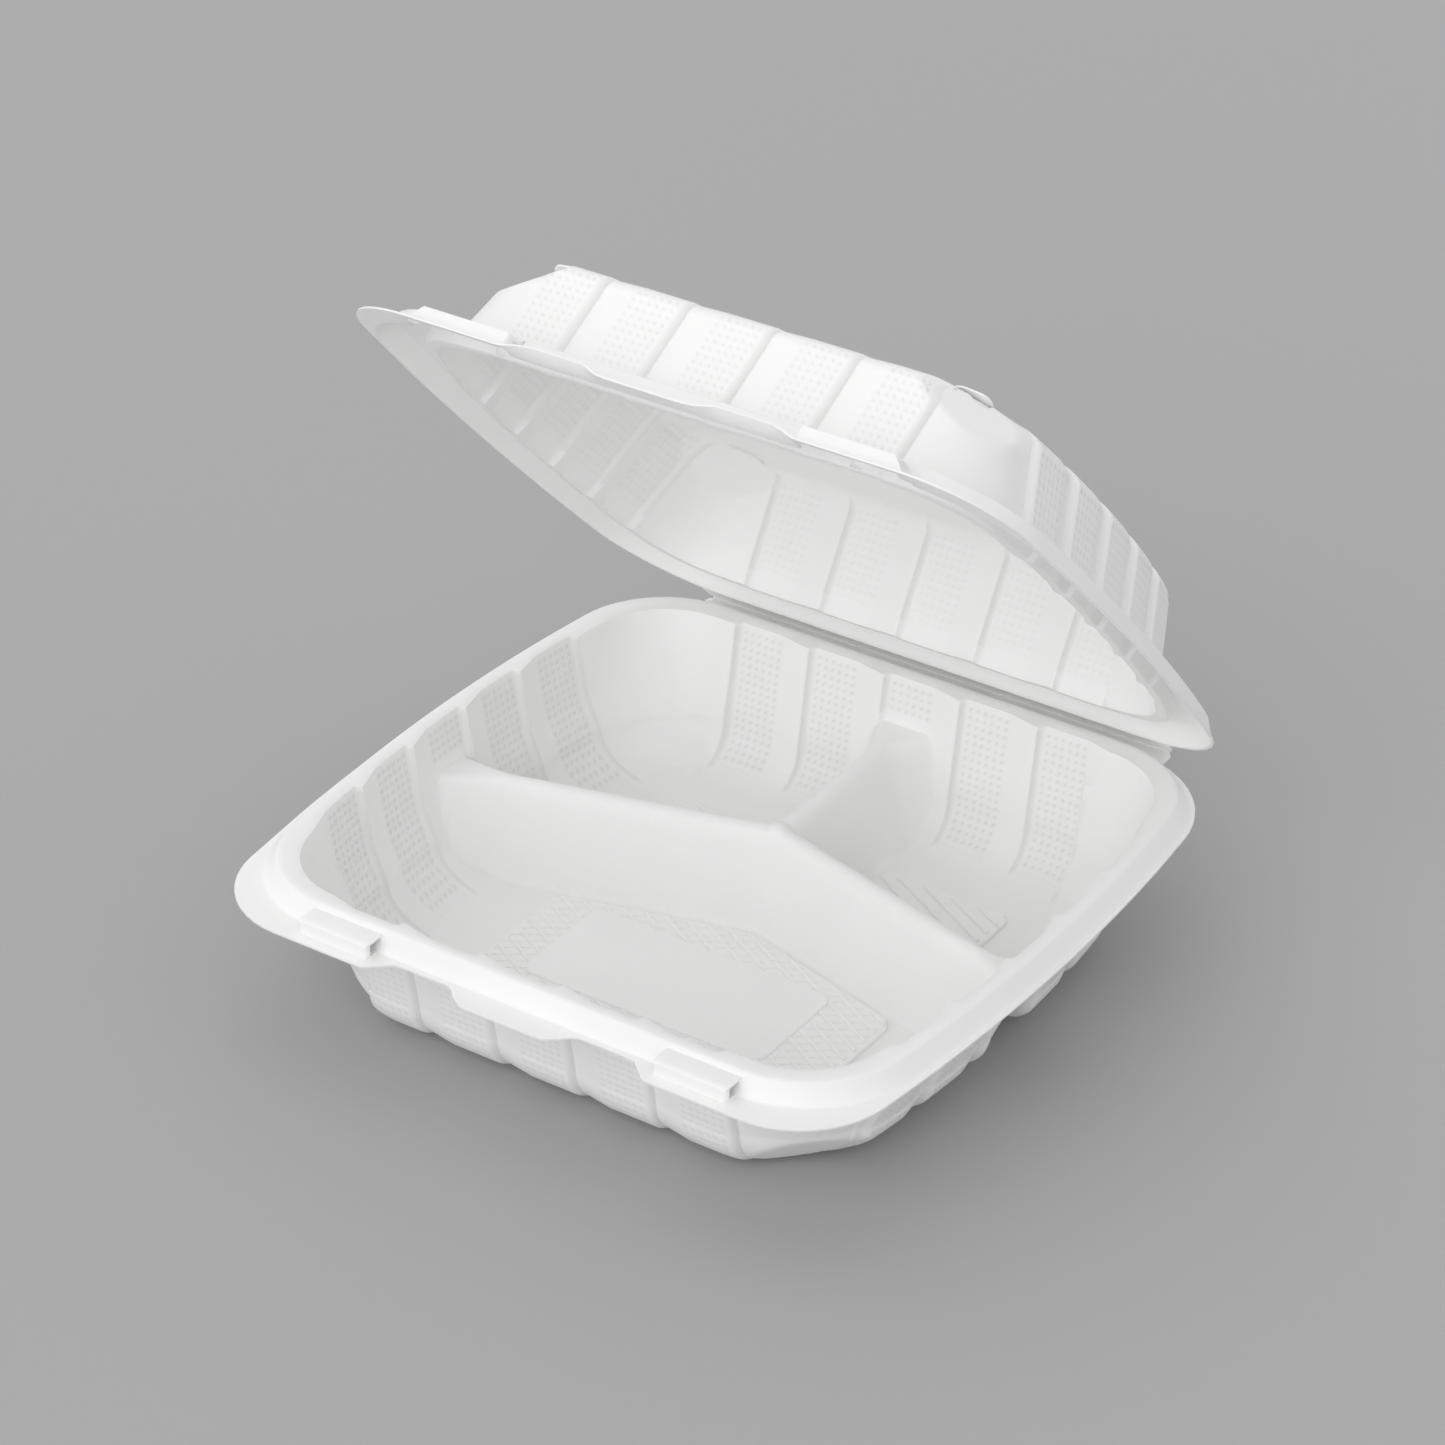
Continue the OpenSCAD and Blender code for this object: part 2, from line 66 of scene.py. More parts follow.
Point2 = Tuple[float, float]
Point3 = Tuple[float, float, float]
Piece = bpy.types.Object


class Body(Enum):
    """Rigid bodies of the frame that a piece can ride on. Each has one node of the same name."""

    BASE = "base"
    LID = "lid"


class End(Enum):
    """The two ends of an outline."""

    FRONT = -1
    BACK = 1


class Run(Enum):
    """The four runs of a ring, in ring order."""

    FRONT = 0
    RIGHT = 1
    BACK = 2
    LEFT = 3


class Pick(Enum):
    """What an edit-mode choice picks."""

    FACE = "FACE"
    EDGE = "EDGE"


@dataclass(frozen=True)
class Seat:
    """Places of the base and the open lid in the row frame.

    Attributes:
        rim_ahead: how far the middle of the rim lies in front of the origin.
        lip_height: height of the base's lip above the table.
        hinge_y: hinge line behind the middle of the rim.
        hinge_z: hinge line above the base's lip.
        lid_open: angle that the lid stands open, in degrees.
    """

    rim_ahead: float = 6.4
    lip_height: float = 43.0
    hinge_y: float = 119.9
    hinge_z: float = 0.2
    lid_open: float = 46.6

    def matrix(self, body: Body) -> Matrix:
        """Gives the move from shell coordinates in metres to the row frame.

        Args:
            body: the shell that the piece belongs to.

        Returns:
            The 4 by 4 matrix of the move.
        """
        down = Matrix.Translation((0.0, -self.rim_ahead * MM, self.lip_height * MM))
        if body is Body.BASE:
            return down
        hinge = Vector((0.0, self.hinge_y * MM, self.hinge_z * MM))
        turn = Matrix.Rotation(math.radians(-self.lid_open), 4, "X")
        return down @ Matrix.Translation(hinge) @ turn @ Matrix.Translation(-hinge)

    def place(self, obj: Piece, body: Body) -> None:
        """Moves a piece's mesh to the row frame and lets it ride on its body.

        Args:
            obj: the piece, with its object at the origin.
            body: the shell that it belongs to.
        """
        obj.data.transform(self.matrix(body))
        obj.data.update()
        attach(obj, body.value)
        LOG.info("%s: %d faces on %s", obj.name, len(obj.data.polygons), body.value)


@dataclass(frozen=True)
class Corner:
    """Corner arc of an outline.

    Attributes:
        x: its centre across.
        y: its centre in depth.
        r: its radius.
        slope: slope of the side where the arc ends.
        most: share of the radius that a straight run may reach round the arc.
    """

    x: float
    y: float
    r: float
    slope: float
    most: float = 0.7

    def turn(self, beyond: np.ndarray) -> np.ndarray:
        """Gives how far round the arc, in radians, places beyond the end of the straight run lie."""
        return np.arcsin(np.clip(beyond / self.r, 0.0, self.most))

    def fall(self, beyond: np.ndarray) -> np.ndarray:
        """Gives how far the arc has fallen away at places beyond the end of the straight run."""
        return self.r * (1.0 - np.cos(self.turn(beyond)))

    @property
    def end_y(self) -> float:
        """Depth at which the arc meets the bowed side."""
        return self.y - self.r * math.sin(self.slope)


@dataclass(frozen=True)
class Outline:
    """Rounded square with straight ends and bowed sides."""

    half: float
    bow: float
    front: float
    back: float
    front_r: float
    back_r: float

    @property
    def mid(self) -> float:
        """Depth of the outline's middle."""
        return (self.front + self.back) / 2.0

    @property
    def reach(self) -> float:
        """Half the depth of the outline."""
        return (self.back - self.front) / 2.0

    def side_x(self, y: np.ndarray) -> np.ndarray:
        """Gives the half-widths of the bowed side at depths along it."""
        return self.half + self.bow * (1.0 - ((y - self.mid) / self.reach) ** 2)

    def slope(self, y: float) -> float:
        """Gives the slope of the bowed side at a depth, in radians."""
        return math.atan(-2.0 * self.bow * (y - self.mid) / self.reach**2)

    def corner(self, end: End) -> Corner:
        """Gives the corner arc at one end.

        Args:
            end: front or back.

        Returns:
            The arc on the right-hand side.
        """
        r = self.back_r if end is End.BACK else self.front_r
        y = self.back - r if end is End.BACK else self.front + r
        slope = self.slope(y - r * math.sin(self.slope(y)))
        x = float(self.side_x(y - r * math.sin(slope))) - r * math.cos(slope)
        return Corner(x, y, r, slope)

    def width_at(self, y: np.ndarray) -> np.ndarray:
        """Gives the half-width at any depth, round the corners too.

        Args:
            y: depths.

        Returns:
            The half-widths.
        """
        f, b = self.corner(End.FRONT), self.corner(End.BACK)
        x = self.side_x(y)
        x = np.where(y < f.end_y, f.x + f.r * np.cos(f.turn(f.y - y)), x)
        return np.where(y > b.end_y, b.x + b.r * np.cos(b.turn(y - b.y)), x)


@dataclass(frozen=True)
class Stations:
    """Places along one run at which every ring has a point.

    Attributes:
        place: places along the run. The back and the left runs go towards -x and -y.
        share: share of the pleat depth at each place.
        column: phase of the weave columns at each place, in radians.
        weave: 1 on a woven panel and 0 elsewhere.
        painted_crease_shade: 1 where shade is painted into the fold beside a panel and 0 elsewhere.
    """

    place: np.ndarray
    share: np.ndarray
    column: np.ndarray
    weave: np.ndarray
    painted_crease_shade: np.ndarray

    @property
    def far(self) -> float:
        """Distance from the centre line to just beyond the last station."""
        return float(np.abs(self.place).max()) + 1.0


@dataclass(frozen=True)
class Pleats:
    """Places of the pleats of one shell.

    Attributes:
        grooves: place of the middle groove of each run.
        end_pitch: spacing along the front and the back.
        side_pitch: spacing along the sides.
        extra: more places with a point, for each run.
        least: least distance from such a place to the next point.
        count: grooves on each run.
        panel: length of a woven panel.
        step: length of the step beside a panel.
        columns: columns of the weave on a panel.
        fold_and_painted_shade: points of the step, each with its place from the groove, its pleat share and
            its painted crease shade.
        slant: shares of the slope behind the groove that have a point.
    """

    grooves: Dict[Run, float]
    end_pitch: float
    side_pitch: float
    extra: Dict[Run, Sequence[float]]
    least: float = 0.55
    count: int = 5
    panel: float = 15.8
    step: float = 2.0
    columns: int = 6
    # The third value of each fold point is the strength of the shade painted into the crease
    fold_and_painted_shade: Sequence[Point3] = ((-1.3, 0.3, 0.5), (-0.5, 0.96, 1.0), (0.2, 1.0, 0.0))
    slant: Sequence[float] = (0.08, 0.5, 0.92)

    def pattern(self, grooves: Sequence[float]) -> np.ndarray:
        """Gives the rows of a run whose panels lie before their grooves.

        Args:
            grooves: places of the grooves, in rising order.

        Returns:
            Rows of place, pleat share, column phase, weave and crease.
        """
        rows = []
        steps = DIMPLE_POINTS * self.columns
        behind = self.fold_and_painted_shade[-1][0]
        for g, following in zip(grooves, list(grooves[1:]) + [None]):
            start = g - self.step - self.panel
            for k in range(steps + 1):
                phase = 2.0 * math.pi * (k - 1) / DIMPLE_POINTS
                rows.append((start + self.panel * k / steps, 0.0, phase, float(0 < k < steps), 0.0))
            # The step's points carry the painted crease shade
            rows += [(g + place, share, 0.0, 0.0, painted_crease_shade) for place, share, painted_crease_shade in self.fold_and_painted_shade]
            if following is not None:
                run = following - self.step - self.panel - g - behind
                rows += [(g + behind + run * t, 1.0 - t, 0.0, 0.0, 0.0) for t in self.slant]
        return np.array(rows)

    def stations(self, run: Run) -> Stations:
        """Gives the stations of one run.

        Args:
            run: the run.

        Returns:
            The stations, without the two ends of the run.
        """
        at_end = run in (Run.FRONT, Run.BACK)
        pitch = self.end_pitch if at_end else self.side_pitch
        first = self.grooves[run]
        table = self.pattern([first + (k - self.count // 2) * pitch for k in range(self.count)])
        if not at_end:
            table = table[::-1]
            table[:, 0] *= -1.0
        for p in self.extra.get(run, ()):
            if np.abs(table[:, 0] - p).min() > self.least and table[0, 0] < p < table[-1, 0]:
                row = [float(np.interp(p, table[:, 0], values)) for values in table.T]
                table = np.insert(table, np.searchsorted(table[:, 0], p), row, axis=0)
        return Stations(*table.T)


@dataclass(frozen=True)
class Facet:
    """Slanted plane that cuts each corner of a shell.

    Attributes:
        reach: distance from the centre to the plane at its height.
        height: height at which the reach is given.
        run: outward run for each unit of rise.
        start: height at which the plane starts to cut.
        clear: distance that is given where the plane doesn't cut.
    """

    reach: float
    height: float
    run: float
    start: float
    clear: float = 1000.0

    def limit(self, z: float) -> float:
        """Gives the distance from the centre to the plane at a height."""
        cuts = z < self.start if self.run > 0 else z > self.start
        return self.reach + self.run * (z - self.height) if cuts else self.clear


@dataclass(frozen=True)
class Rim:
    """Sizes of the rim, shared by both shells."""

    depth: float = 228.6
    width: float = 218.0
    bow: float = 9.2
    lip_front_r: float = 31.0
    lip_back_r: float = 38.5
    lip_side: float = 6.4
    lip_front: float = 13.6
    bead_r: float = 33.0
    bead_height: float = 5.9
    bead_flat: float = 1.2
    bead_foot: float = 4.8
    inner: float = 3.3
    pleat_depth: float = 2.2
    scoop_depth: float = 6.6
    tab_half: float = 14.0
    scoop_ramp: float = 10.0
    scoop_run: float = 17.0

    @property
    def crest_half(self) -> float:
        """Half-width of the bead crest at the ends of a side."""
        return self.width / 2.0 - self.lip_side

    @property
    def crest_front(self) -> float:
        """Depth of the bead crest at the front."""
        return -self.depth / 2.0 + self.lip_front

    @property
    def crest_back(self) -> float:
        """Depth of the bead crest at the back."""
        return self.depth / 2.0 - self.lip_side

    @property
    def middle(self) -> float:
        """Depth of the middle of the bead."""
        return (self.crest_front + self.crest_back) / 2.0

    def inside(self, inset: float, side: float, corner: float) -> Outline:
        """Gives the outline at a distance inside the bead crest.

        Args:
            inset: distance inside the crest.
            side: extra distance at the two sides.
            corner: extra corner radius.

        Returns:
            The outline.
        """
        r = self.bead_r - inset + corner
        front, back = self.crest_front + inset, self.crest_back - inset
        return Outline(self.crest_half - inset - side, self.bow, front, back, r, r)

    def lip(self) -> Outline:
        """Gives the outer edge of the lip."""
        half = self.depth / 2.0
        return Outline(self.width / 2.0, self.bow, -half, half, self.lip_front_r, self.lip_back_r)

    def scoop(self, x: np.ndarray) -> np.ndarray:
        """Gives how far the finger scoops are formed at places along the front.

        Args:
            x: places along the front.

        Returns:
            Shares between 0 and 1.
        """
        a = np.abs(x) - self.tab_half
        rise = np.clip(a / self.scoop_ramp, 0.0, 1.0)
        fall = np.clip((a - self.scoop_ramp - self.scoop_run) / self.scoop_ramp, 0.0, 1.0)
        return (1.0 - np.cos(np.pi * rise)) / 2.0 * (1.0 + np.cos(np.pi * fall)) / 2.0


@dataclass
class RingMaker:
    """Lays rings of points round a shell.

    Attributes:
        rim: the shared rim.
        pleats: the pleats of the shell.
        facet: the corner planes of the shell.
        group: points on each third of a corner arc.
        hold: share of a corner radius that the front and the back runs may cover.
        least: least half-angle of the facet's points on an arc, in degrees.
        clear: share of an arc that the facet's points leave free at each end.
        runs: stations of each run.
    """

    rim: Rim
    pleats: Pleats
    facet: Facet
    group: int = 4
    hold: float = 0.62
    least: float = 14.0
    clear: float = 0.12
    runs: Dict[Run, Stations] = field(init=False)

    def __post_init__(self) -> None:
        """Lays out the stations of the four runs."""
        self.runs = {run: self.pleats.stations(run) for run in Run}

    @property
    def front_count(self) -> int:
        """Number of points on the front run, with its two ends."""
        return len(self.runs[Run.FRONT].place) + 2

    def spread(self, name: str) -> np.ndarray:
        """Gives one value of the stations for all points of a ring.

        Args:
            name: column, weave or painted_crease_shade.

        Returns:
            The values, in ring order.
        """
        corner = np.zeros(3 * self.group)
        parts = []
        for run in Run:
            parts += [[0.0], getattr(self.runs[run], name), [0.0], corner]
        return np.concatenate(parts)

    def line(self, run: Run, start: float, end: float) -> Tuple[np.ndarray, np.ndarray]:
        """Gives the places and pleat shares of a run with its two ends.

        Args:
            run: the run.
            start: place of its first point.
            end: place of its last point.

        Returns:
            The places and the shares.
        """
        s = self.runs[run]
        place = np.concatenate([[start], s.place, [end]])
        return place, np.concatenate([[1.0], s.share, [1.0]])

    def ring(self, o: Outline, depth: float, z: float) -> np.ndarray:
        """Gives one closed ring, anticlockwise from above, from the front left.

        Args:
            o: outline of the ring.
            depth: pleat depth.
            z: height of the ring.

        Returns:
            The points as rows of x, y, z.
        """
        f, b = o.corner(End.FRONT), o.corner(End.BACK)
        fx = max(f.x, self.runs[Run.FRONT].far)
        bx = max(b.x, self.runs[Run.BACK].far)
        right, left = self.runs[Run.RIGHT].place, self.runs[Run.LEFT].place
        y0, y1 = min(f.end_y, right[0] - 1.0), max(b.end_y, right[-1] + 1.0)
        y2, y3 = max(b.end_y, 1.0 - left[0]), min(f.end_y, -1.0 - left[-1])
        f0 = float(f.turn(np.array(fx - f.x))) - QUARTER
        b0 = QUARTER - float(b.turn(np.array(bx - b.x)))
        near = [-max(float(f.turn(np.array(f.y - y))), f.slope) for y in (y0, y3)]
        far = [max(float(b.turn(np.array(y - b.y))), -b.slope) for y in (y1, y2)]
        limit = self.facet.limit(z)
        xf, front = self.line(Run.FRONT, -fx, fx)
        xf = xf * min(1.0, (f.x + self.hold * f.r) / fx)
        ry, right_share = self.line(Run.RIGHT, y0, y1)
        xb, back = self.line(Run.BACK, -bx, bx)
        xb = xb * min(1.0, (b.x + self.hold * b.r) / bx)
        ly, left_share = self.line(Run.LEFT, -y2, -y3)
        parts = [
            np.stack([xf, o.front + f.fall(np.abs(xf) - f.x) + front * depth], 1),
            self.arc(f, depth, 1, f0, near[0], limit),
            np.stack([o.width_at(ry) - right_share * depth, ry], 1),
            self.arc(b, depth, 1, far[0], b0, limit),
            np.stack([-xb, o.back - b.fall(np.abs(xb) - b.x) - back * depth], 1),
            self.arc(b, depth, -1, b0, far[1], limit),
            np.stack([left_share * depth - o.width_at(-ly), -ly], 1),
            self.arc(f, depth, -1, near[1], f0, limit),
        ]
        plan = self.cut(np.concatenate(parts), limit)
        return np.column_stack([plan, np.full(len(plan), z)])

    def arc(self, c: Corner, depth: float, flip: int, start: float, end: float, limit: float) -> np.ndarray:
        """Gives the points of a corner arc without its two ends, with points where the facet's edges fall.

        Args:
            c: the arc.
            depth: how far the corner panel is recessed.
            flip: 1 for the right-hand side, -1 for the left.
            start: first direction in radians.
            end: last direction in radians.
            limit: distance from the centre to the facet.

        Returns:
            The points as rows of x, y.
        """
        r = c.r - depth
        away = (c.x + abs(c.y - self.rim.middle)) / math.sqrt(2.0)
        half = math.acos(float(np.clip((limit - away) / r, -1.0, 1.0)))
        half = math.copysign(max(half, math.radians(self.least)), end - start)
        middle = math.copysign(QUARTER / 2.0, c.y - self.rim.middle)
        room = self.clear * abs(end - start)
        low, high = min(start, end) + room, max(start, end) - room
        first, last = (float(np.clip(middle + half * k, low, high)) for k in (-1.0, 1.0))
        n = self.group + 1
        before, after = np.linspace(start, first, n)[1:], np.linspace(last, end, n)[:-1]
        a = np.concatenate([before, np.linspace(first, last, n + 1)[1:-1], after])
        return np.stack([flip * (c.x + r * np.cos(a)), c.y + r * np.sin(a)], 1)

    def cut(self, plan: np.ndarray, limit: float) -> np.ndarray:
        """Moves points beyond a corner facet back onto it.

        Args:
            plan: points as rows of x, y.
            limit: distance from the centre to the facet.

        Returns:
            The moved points.
        """
        place = plan - np.array([0.0, self.rim.middle])
        n = np.where(place < 0.0, -1.0, 1.0) / math.sqrt(2.0)
        over = np.maximum(np.sum(place * n, 1) - limit, 0.0)
        return plan - n * over[:, None]

    def row(self, q: Sequence[float]) -> np.ndarray:
        """Gives the ring of a profile row, whose values are those that Blend.row gives."""
        return self.ring(self.rim.inside(q[0], q[3], q[4]), q[2] * self.rim.pleat_depth, q[1])


@dataclass(frozen=True)
class Blend:
    """Rounding between a wall and a floor or a ceiling.

    Attributes:
        inset: inset at the foot of the wall.
        z: height at the foot of the wall.
        sweep: width of the rounding.
        rise: height of the rounding, with its sign.
        lean: extra inset at the sides at the foot of the wall.
        side: further inset at the sides across the rounding.
        corner_r: corner radius at the foot of the wall.
        flat_r: corner radius on the floor.
        flat_share: square of the pleat share that is left on the floor.
    """

    inset: float
    z: float
    sweep: float
    rise: float
    lean: float
    side: float
    corner_r: float
    flat_r: float
    flat_share: float = 0.02

    def row(self, a: float, bead_r: float) -> List[float]:
        """Gives one profile row.

        Args:
            a: angle round the quarter, in radians.
            bead_r: corner radius of the bead crest.

        Returns:
            Inset, height, pleat share, extra inset at the sides, extra corner radius.
        """
        k = 1.0 - math.cos(a)
        inset = self.inset + self.sweep * k
        corner = self.corner_r + (self.flat_r - self.corner_r) * k - bead_r + inset
        share = math.sqrt(max(math.cos(a), self.flat_share))
        return [inset, self.z + self.rise * math.sin(a), share, self.lean + self.side * k, corner]

    def angles(self, pitch: float) -> List[float]:
        """Gives the angles of rows at a pitch along the rounding.

        Args:
            pitch: distance between rows.

        Returns:
            The angles in radians, without the first.
        """
        a = np.linspace(0.0, QUARTER, 400)
        step = np.hypot(np.diff(self.sweep * (1 - np.cos(a))), np.diff(self.rise * np.sin(a)))
        run = np.concatenate([[0.0], np.cumsum(step)])
        return list(np.interp(np.linspace(0.0, run[-1], round(run[-1] / pitch) + 1)[1:], run, a))


def soften(profile: Sequence[Sequence[float]], radius: float) -> List[List[float]]:
    """Rounds the corners of a profile.

    Args:
        profile: rows whose first two values are inset and height.
        radius: distance from a corner at which its rounding starts, at most just under half a side.

    Returns:
        The longer profile.
    """
    most = 0.45
    rows = [np.array(q, float) for q in profile]
    out = [list(rows[0])]
    for a, b, c in zip(rows[:-2], rows[1:-1], rows[2:]):
        before, after = np.linalg.norm((b - a)[:2]), np.linalg.norm((c - b)[:2])
        p = b + (a - b) * min(radius / before, most)
        q = b + (c - b) * min(radius / after, most)
        out += [list(p), list(0.25 * p + 0.5 * b + 0.25 * q), list(q)]
    out.append(list(rows[-1]))
    return out


def between(a: Sequence[float], b: Sequence[float], pitch: float) -> List[List[float]]:
    """Fills the space between two profile rows with rows at a pitch.

    Args:
        a: first row.
        b: last row.
        pitch: distance between rows.

    Returns:
        The rows, with both ends.
    """
    p, q = np.array(a, float), np.array(b, float)
    steps = max(1, round(float(np.linalg.norm((q - p)[:2])) / pitch))
    return [list(p + (q - p) * k / steps) for k in range(steps + 1)]


def soft_max(a: np.ndarray, b: np.ndarray, k: float) -> np.ndarray:
    """Gives the larger of two heights, rounded where they differ by less than k."""
    near = np.maximum(k - np.abs(a - b), 0.0) / k
    return np.maximum(a, b) + near * near * k / 4.0


def select_only(obj: Piece) -> None:
    """Makes one object the only selected one and the active one.

    Args:
        obj: the object.
    """
    if bpy.context.object and bpy.context.object.mode != "OBJECT":
        bpy.ops.object.mode_set(mode="OBJECT")
    bpy.ops.object.select_all(action="DESELECT")
    obj.select_set(True)
    bpy.context.view_layer.objects.active = obj


def apply_modifier(obj: Piece, kind: str, **values: object) -> None:
    """Adds a modifier to an object and applies it.

    Args:
        obj: the object.
        kind: Blender's name of the modifier type.
        **values: settings of the modifier.
    """
    select_only(obj)
    bpy.ops.object.modifier_add(type=kind)
    modifier = obj.modifiers[-1]
    for key, value in values.items():
        setattr(modifier, key, value)
    bpy.ops.object.modifier_apply(modifier=modifier.name)


def smooth(obj: Piece, degrees: float) -> Piece:
    """Shades an object smooth, with edges sharper than an angle left crisp.

    Args:
        obj: the object.
        degrees: the angle.

    Returns:
        The same object.
    """
    select_only(obj)
    bpy.ops.object.shade_smooth_by_angle(angle=math.radians(degrees))
    return obj


def inner_points(edge: np.ndarray, grid: np.ndarray, margin: float) -> np.ndarray:
    """Keeps the points that lie inside a ring, away from its edge.

    Args:
        edge: the ring, as rows of x, y.
        grid: points as rows of x, y.
        margin: least distance from the ring.

    Returns:
        The kept points.
    """
    a, b = edge, np.roll(edge, -1, 0)
    kept = []
    for p in grid:
        spans = (a[:, 1] > p[1]) != (b[:, 1] > p[1])
        with np.errstate(divide="ignore", invalid="ignore"):
            cross = a[:, 0] + (p[1] - a[:, 1]) * (b[:, 0] - a[:, 0]) / (b[:, 1] - a[:, 1])
        near = np.hypot(a[:, 0] - p[0], a[:, 1] - p[1]).min()
        if np.count_nonzero(spans & (cross > p[0])) % 2 and near > margin:
            kept.append(p)
    return np.array(kept)


def formed_sheet(
    name: str,
    rings: Sequence[np.ndarray],
    flip: bool,
    fill: Optional[np.ndarray] = None,
    shade: Optional[np.ndarray] = None,
) -> Piece:
    """Makes an open surface through a stack of rings, closed inside the last ring.

    Args:
        name: name of the piece.
        rings: rings in millimetres, from the lip inwards, all with the same number of points.
        flip: whether the surface faces down instead of up.
        fill: points inside the last ring, or nothing to leave it open.
        shade: strength of the painted shade at each point of the rings, in folds and dimples, or nothing.

    Returns:
        The new object.
    """
    triangles_inside, merge = 1, 1e-5
    n = len(rings[0])
    points = np.concatenate(rings)
    i = np.arange(n)
    j = (i + 1) % n
    faces = []
    for k in range(len(rings) - 1):
        faces += np.stack([k * n + i, k * n + j, (k + 1) * n + j, (k + 1) * n + i], 1).tolist()
    if fill is not None:
        first = len(points) - n
        flat = [Vector(p[:2]) for p in rings[-1]] + [Vector(p[:2]) for p in fill]
        bounds = [(int(p), int(q)) for p, q in zip(i, j)]
        verts, _, tris, origin, _, _ = delaunay_2d_cdt(flat, bounds, [], triangles_inside, merge)
        points = np.concatenate([points, fill])
        for tri in tris:
            f = [first + origin[v][0] for v in tri]
            a, b, c = (verts[v] for v in tri)
            up = (b - a).cross(c - a) > 0.0
            faces.append(f if up else f[::-1])
    mesh = bpy.data.meshes.new(name)
    mesh.from_pydata((points * MM).tolist(), [], [f[::-1] for f in faces] if flip else faces)
    mesh.update()
    # Stores the painted shade of folds and dimples for the plastic to darken its colour
    if shade is not None:
        values = np.zeros(len(points), np.float32)
        values[: shade.size] = shade.ravel()
        mesh.attributes.new("fold_and_painted_shade", "FLOAT", "POINT").data.foreach_set("value", values)
    obj = bpy.data.objects.new(name, mesh)
    bpy.context.scene.collection.objects.link(obj)
    return obj


def cut_away(obj: Piece, cutters: Sequence[Piece]) -> None:
    """Cuts solid shapes out of a piece and removes them.

    Args:
        obj: the piece.
        cutters: the shapes that are cut away.
    """
    for cutter in cutters:
        apply_modifier(obj, "BOOLEAN", operation="DIFFERENCE", object=cutter)
        bpy.data.objects.remove(cutter)


def grid_normals(grid: np.ndarray, flip: bool) -> np.ndarray:
    """Gives the unit normals of a grid of rings that all have the same number of points.

    Args:
        grid: points as rings by points by 3.
        flip: whether the surface faces down instead of up.

    Returns:
        The normals in the same layout.
    """
    n = np.cross(np.roll(grid, -1, 1) - np.roll(grid, 1, 1), np.gradient(grid, axis=0))
    n /= np.maximum(np.linalg.norm(n, axis=2, keepdims=True), 1e-9)
    return -n if flip else n


class Bench:
    """Models one small piece in edit mode, with places in millimetres of the shell."""

    def __init__(self, name: str, low: Point3, high: Point3) -> None:
        """Starts the piece from a cube primitive.

        Args:
            name: name of the piece.
            low: lowest corner.
            high: highest corner.
        """
        middle = [(a + b) / 2.0 * MM for a, b in zip(low, high)]
        bpy.ops.object.select_all(action="DESELECT")
        bpy.ops.mesh.primitive_cube_add(size=1.0, location=middle)
        self.obj = bpy.context.object
        self.obj.name = name
        self.obj.data.name = name
        self.obj.scale = [(b - a) * MM for a, b in zip(low, high)]
        bpy.ops.object.transform_apply(location=True, rotation=True, scale=True)
        bpy.ops.object.mode_set(mode="EDIT")

    def pick(self, kind: Pick, test: Callable[[Vector, Vector], bool]) -> None:
        """Selects the faces or the edges that pass a test.

        Args:
            kind: faces or edges.
            test: takes the middle in millimetres, and the normal of a face or the direction of an edge.
        """
        bpy.ops.mesh.select_mode(type=kind.value)
        bpy.ops.mesh.select_all(action="DESELECT")
        bm = bmesh.from_edit_mesh(self.obj.data)
        if kind is Pick.FACE:
            for f in bm.faces:
                f.select_set(test(f.calc_center_median() / MM, f.normal))
        else:
            for e in bm.edges:
                a, b = e.verts[0].co, e.verts[1].co
                e.select_set(test((a + b) / 2.0 / MM, (b - a).normalized()))
        bm.select_flush_mode()
        bmesh.update_edit_mesh(self.obj.data)

    def bevel(self, width: float, segments: int) -> None:
        """Bevels the picked edges."""
        bpy.ops.mesh.bevel(offset=width * MM, segments=segments, affect="EDGES")

    def inset(self, width: float) -> None:
        """Insets the picked faces."""
        bpy.ops.mesh.inset(thickness=width * MM)

    def extrude(self, by: Point3) -> None:
        """Extrudes the picked faces by a distance."""
        bpy.ops.mesh.extrude_region_move(TRANSFORM_OT_translate={"value": [v * MM for v in by]})

    def resize(self, by: Point3, centre: Point3) -> None:
        """Scales what is picked about a point."""
        bpy.ops.transform.resize(value=by, center_override=[v * MM for v in centre])

    def turn(self, degrees: float, axis: str, centre: Point3) -> None:
        """Turns the whole piece about a point.

        Args:
            degrees: the angle.
            axis: name of the axis.
            centre: the point.
        """
        bpy.ops.mesh.select_all(action="SELECT")
        middle = [v * MM for v in centre]
        bpy.ops.transform.rotate(value=-math.radians(degrees), orient_axis=axis, center_override=middle)

    def repeat(self, count: int, by: Point3) -> None:
        """Copies the whole piece along a line, each copy with its own faces.

        Args:
            count: number of copies.
            by: distance from one to the next.
        """
        bpy.ops.mesh.select_all(action="SELECT")
        for _ in range(count):
            bpy.ops.mesh.duplicate_move(TRANSFORM_OT_translate={"value": [v * MM for v in by]})

    def trim(self, at: Point3, away: Point3) -> None:
        """Cuts off what lies beyond a plane, in its outward direction, and closes the cut."""
        bpy.ops.mesh.select_all(action="SELECT")
        bpy.ops.mesh.bisect(plane_co=[v * MM for v in at], plane_no=away, clear_outer=True, use_fill=True)

    def done(self) -> Piece:
        """Turns all faces outward, leaves edit mode and gives the piece.

        Returns:
            The piece.
        """
        bpy.ops.mesh.select_all(action="SELECT")
        bpy.ops.mesh.normals_make_consistent(inside=False)
        bpy.ops.object.mode_set(mode="OBJECT")
        return self.obj


